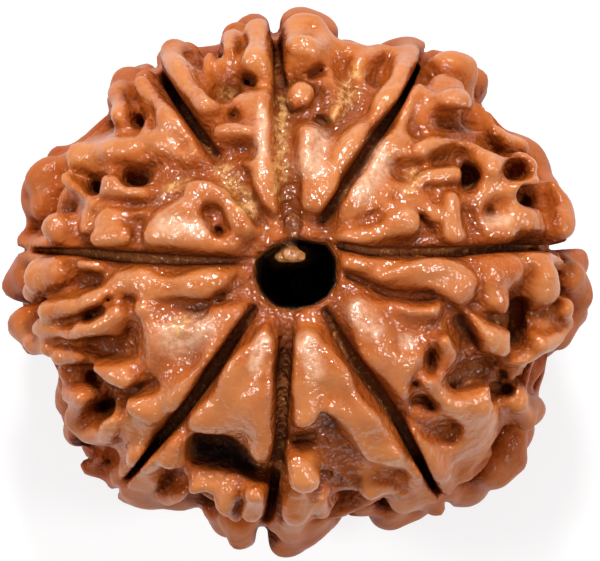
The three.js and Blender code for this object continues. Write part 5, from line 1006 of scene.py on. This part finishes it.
# Golden fibre in patches, groove floors in their own lighter brown, painted light where little light
# reaches, with golden specks, black resin, and the bore painted near-black as painted shade
def shell_fillings(node, spots, marks, tone):
    gold = node(RAMP, {0: spots["crumb"]}, stops=[(0.3, "#8E5224"), (0.5, "#BE8044"), (0.7, "#EBB674")])
    strands = node(RAMP, {0: spots["crumb"]}, stops=[(0.38, 0.0), (0.55, 0.9)])
    strands = node(MATH, {0: marks["golden"], 1: strands}, operation="MULTIPLY")
    tone = node(MIX, {0: strands, 6: tone, 7: gold}, 2, data_type="RGBA")
    # Groove floors: a lighter brown of their own, painted light where little light reaches
    sunk = node(MATH, {0: marks["lift"], 1: -0.5}, operation="MULTIPLY")
    sunk = node(RAMP, {0: sunk}, stops=[(0.1, 0.0), (0.4, 1.0)])
    specks = node(RAMP, {0: spots["grain"]}, stops=[(0.57, "#98562E"), (0.67, "#E2A55C")])
    tone = node(MIX, {0: sunk, 6: tone, 7: specks}, 2, data_type="RGBA")
    tone = node(MIX, {0: marks["resin"], 6: tone, 7: "#2E2220"}, 2, data_type="RGBA")
    # The bore's walls painted near-black as painted shade, with golden pith crumbs
    bore = node(MIX, {0: marks["golden"], 6: "#2A1A12", 7: gold}, 2, data_type="RGBA")
    return node(MIX, {0: marks["bore"], 6: tone, 7: bore}, 2, data_type="RGBA")


# Lumps that grow with the depth, with the pores of the shell and the ripples of the oil over them
def shell_relief(node, spots, depth):
    rough = node(RAMP, {0: depth}, stops=[(0.1, 0.1), (0.45, 0.8)])
    lumps = node(BUMP, {"Height": spots["lumps"], "Strength": rough, "Distance": 0.3 * MM})
    reliefs = []
    for spot, strength, height in (("grain", 0.4, 0.05 * MM), ("ripple", 1.0, 0.12 * MM)):
        inputs = {"Height": spots[spot], "Normal": lumps, "Strength": strength, "Distance": height}
        reliefs.append(node(BUMP, inputs))
    return reliefs


def shell_material():
    # Rudraksha shell, brushed clean and oiled: satin orange-brown crests with patches lightened as painted
    # sheen, red-brown hollows darkened as painted shade, with a wet gloss, nearly black pits, and
    # golden-yellow remains of fibre in a few hollows.
    material = bpy.data.materials.new("rudraksha_shell_oiled")
    material.use_nodes = True
    material.node_tree.nodes.clear()
    node = functools.partial(add_node, material.node_tree)
    place = node("ShaderNodeTexCoord", {}, "Object")
    mm = node("ShaderNodeVectorMath", {0: place, "Scale": 1 / MM}, operation="SCALE")
    spots = {}
    for name, (spot, detail, roughness) in SPOTS.items():
        inputs = {"Vector": mm, "Scale": cells_per_mm(spot), "Detail": detail, "Roughness": roughness}
        spots[name] = node("ShaderNodeTexNoise", inputs)
    marks = {}
    for name in ("shelter", "lift", "painted_sheen", "golden", "resin", "bore"):
        marks[name] = node("ShaderNodeAttribute", {}, "Fac", attribute_name=name)

    depth = shade_and_tone_depth(node, spots, marks)
    # Patches lightened as painted sheen, broken up by crumbs
    painted_sheen = node(RAMP, {0: spots["crumb"]}, stops=[(0.35, 0.15), (0.62, 0.75)])
    painted_sheen = node(MATH, {0: marks["painted_sheen"], 1: painted_sheen}, operation="MULTIPLY")
    tone = shell_brown(node, spots, marks, depth, painted_sheen)
    tone = shell_fillings(node, spots, marks, tone)
    pores, ripples = shell_relief(node, spots, depth)

    # The lower half of the stone is painted darker as painted shade, and is less handled: duller than the
    # face
    height = node("ShaderNodeSeparateXYZ", {0: mm}, "Z")
    level = node(MATH, {0: height, 1: STONE_HEIGHT}, operation="DIVIDE")
    painted_low_shade = node(RAMP, {0: level}, stops=[(0.3, "#CC9670"), (0.76, "#FFFFFF")])
    tone = node(MIX, {0: 1.0, 6: tone, 7: painted_low_shade}, 2, data_type="RGBA", blend_type="MULTIPLY")
    handled = node(RAMP, {0: level}, stops=[(0.64, 0.2), (0.92, 1.0)])

    # Satin on the crests and on the painted sheen patches, and a film of oil that is thinner in the deepest
    # places
    satin = node(RAMP, {0: depth}, stops=[(0.0, 0.2), (0.3, 0.06)])
    satin = node(MATH, {0: satin, 1: handled}, operation="MULTIPLY")
    sheen_patch_gloss = node(MATH, {0: painted_sheen, 1: 0.5}, operation="MULTIPLY")
    sheen = node(MATH, {0: satin, 1: sheen_patch_gloss}, operation="ADD")
    film = node(RAMP, {0: marks["shelter"]}, stops=[(0.42, 1.0), (0.75, 0.2)])
    shader = node("ShaderNodeBsdfPrincipled", {
        "Base Color": tone,
        "Roughness": 0.45,
        "Normal": pores,
        "Specular IOR Level": sheen,
        "Subsurface Weight": 0.08,
        "Subsurface Radius": (0.001, 0.0004, 0.00015),
        "Subsurface Scale": 1.0,
        "Coat Weight": node(MATH, {0: handled, 1: film}, operation="MULTIPLY"),
        "Coat Roughness": node(RAMP, {0: depth}, stops=[(0.0, 0.22), (0.3, 0.11)]),
        "Coat IOR": 1.6,
        "Coat Normal": ripples,
    })
    node("ShaderNodeOutputMaterial", {"Surface": shader})
    return material


def floor_material():
    # Frosted white acrylic lit from below, as on a light table: it stays white where the shadow falls
    material = bpy.data.materials.new("white_acrylic_frosted")
    material.use_nodes = True
    shader = material.node_tree.nodes["Principled BSDF"]
    shader.inputs["Base Color"].default_value = linear("#959595")
    shader.inputs["Roughness"].default_value = 0.9
    shader.inputs["Emission Color"].default_value = linear("#FFFFFF")
    shader.inputs["Emission Strength"].default_value = 0.75
    return material


# The stone's skin, centred on the frame's solid and standing on its flats
field = build_field(STEP)
mesh = skin_mesh(field)
if 2 * len(mesh.polygons) > MOST_TRIANGLES:
    mesh = thin_out(mesh, MOST_TRIANGLES)
add_attributes(mesh, field)
points = mesh_points(mesh)
cad_low, cad_high = [np.array(corner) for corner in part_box("rudraksha_stone")]
shift = (cad_low + cad_high) / 2 / MM - (points.min(axis=0) + points.max(axis=0)) / 2
shift[2] = -REST_HEIGHT
mesh.vertices.foreach_set("co", ((points + shift) * MM).ravel())
mesh.polygons.foreach_set("use_smooth", [True] * len(mesh.polygons))
mesh.update()
mesh.materials.clear()
mesh.materials.append(shell_material())
stone = bpy.data.objects.new("rudraksha_skin", mesh)
bpy.context.collection.objects.link(stone)
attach(stone, "root")
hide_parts("rudraksha_stone")

floor_mesh = bpy.data.meshes.new("floor")
floor_mesh.from_pydata([(-1, -1, 0), (1, -1, 0), (1, 1, 0), (-1, 1, 0)], [], [(0, 1, 2, 3)])
floor_mesh.materials.append(floor_material())
floor = bpy.data.objects.new("floor", floor_mesh)
bpy.context.collection.objects.link(floor)


# A square softbox, in metres and watts, aimed at the middle of the stone
def softbox(name, place, size, power):
    data = bpy.data.lights.new(name, "AREA")
    data.shape = "RECTANGLE"
    data.size = size
    data.size_y = size
    data.energy = power
    lamp = bpy.data.objects.new(name, data)
    lamp.location = place
    lamp.rotation_euler = (Vector(STONE_MIDDLE) - Vector(place)).to_track_quat("-Z", "Y").to_euler()
    bpy.context.collection.objects.link(lamp)


softbox("key_softbox", (0.0, 0.21, 0.27), 0.06, 1.05)
softbox("left_softbox", (-0.21, 0.0, 0.23), 0.05, 0.35)
softbox("right_softbox", (0.21, -0.05, 0.23), 0.05, 0.35)
world = bpy.data.worlds.new("studio")
bpy.context.scene.world = world
world.use_nodes = True
background = world.node_tree.nodes["Background"]
background.inputs["Color"].default_value = (1, 1, 1, 1)
background.inputs["Strength"].default_value = 0.2
bpy.context.scene.view_settings.view_transform = "Standard"

# The camera looks straight down the hole. The picture is 600 pixels wide, with 22 pixels to a millimetre
# at the height of the ridges, 7 mm above the stone's middle.
DISTANCE = 0.8
RIDGE_HEIGHT = 0.007
PICTURE_WIDTH = 600
PIXELS_PER_MM = 22
OFF_CENTRE = (0.5, -2)
SENSOR_WIDTH = 36
camera_data = bpy.data.cameras.new("camera")
camera_data.sensor_width = SENSOR_WIDTH
camera_data.lens = SENSOR_WIDTH * (DISTANCE - RIDGE_HEIGHT) / (PICTURE_WIDTH / PIXELS_PER_MM * MM)
camera_data.clip_end = 10
camera = bpy.data.objects.new("camera", camera_data)
camera_x, camera_y = [(shift[i] + OFF_CENTRE[i] / PIXELS_PER_MM) * MM for i in (0, 1)]
camera.location = (camera_x, camera_y, DISTANCE - REST_HEIGHT * MM)
bpy.context.collection.objects.link(camera)
bpy.context.scene.camera = camera
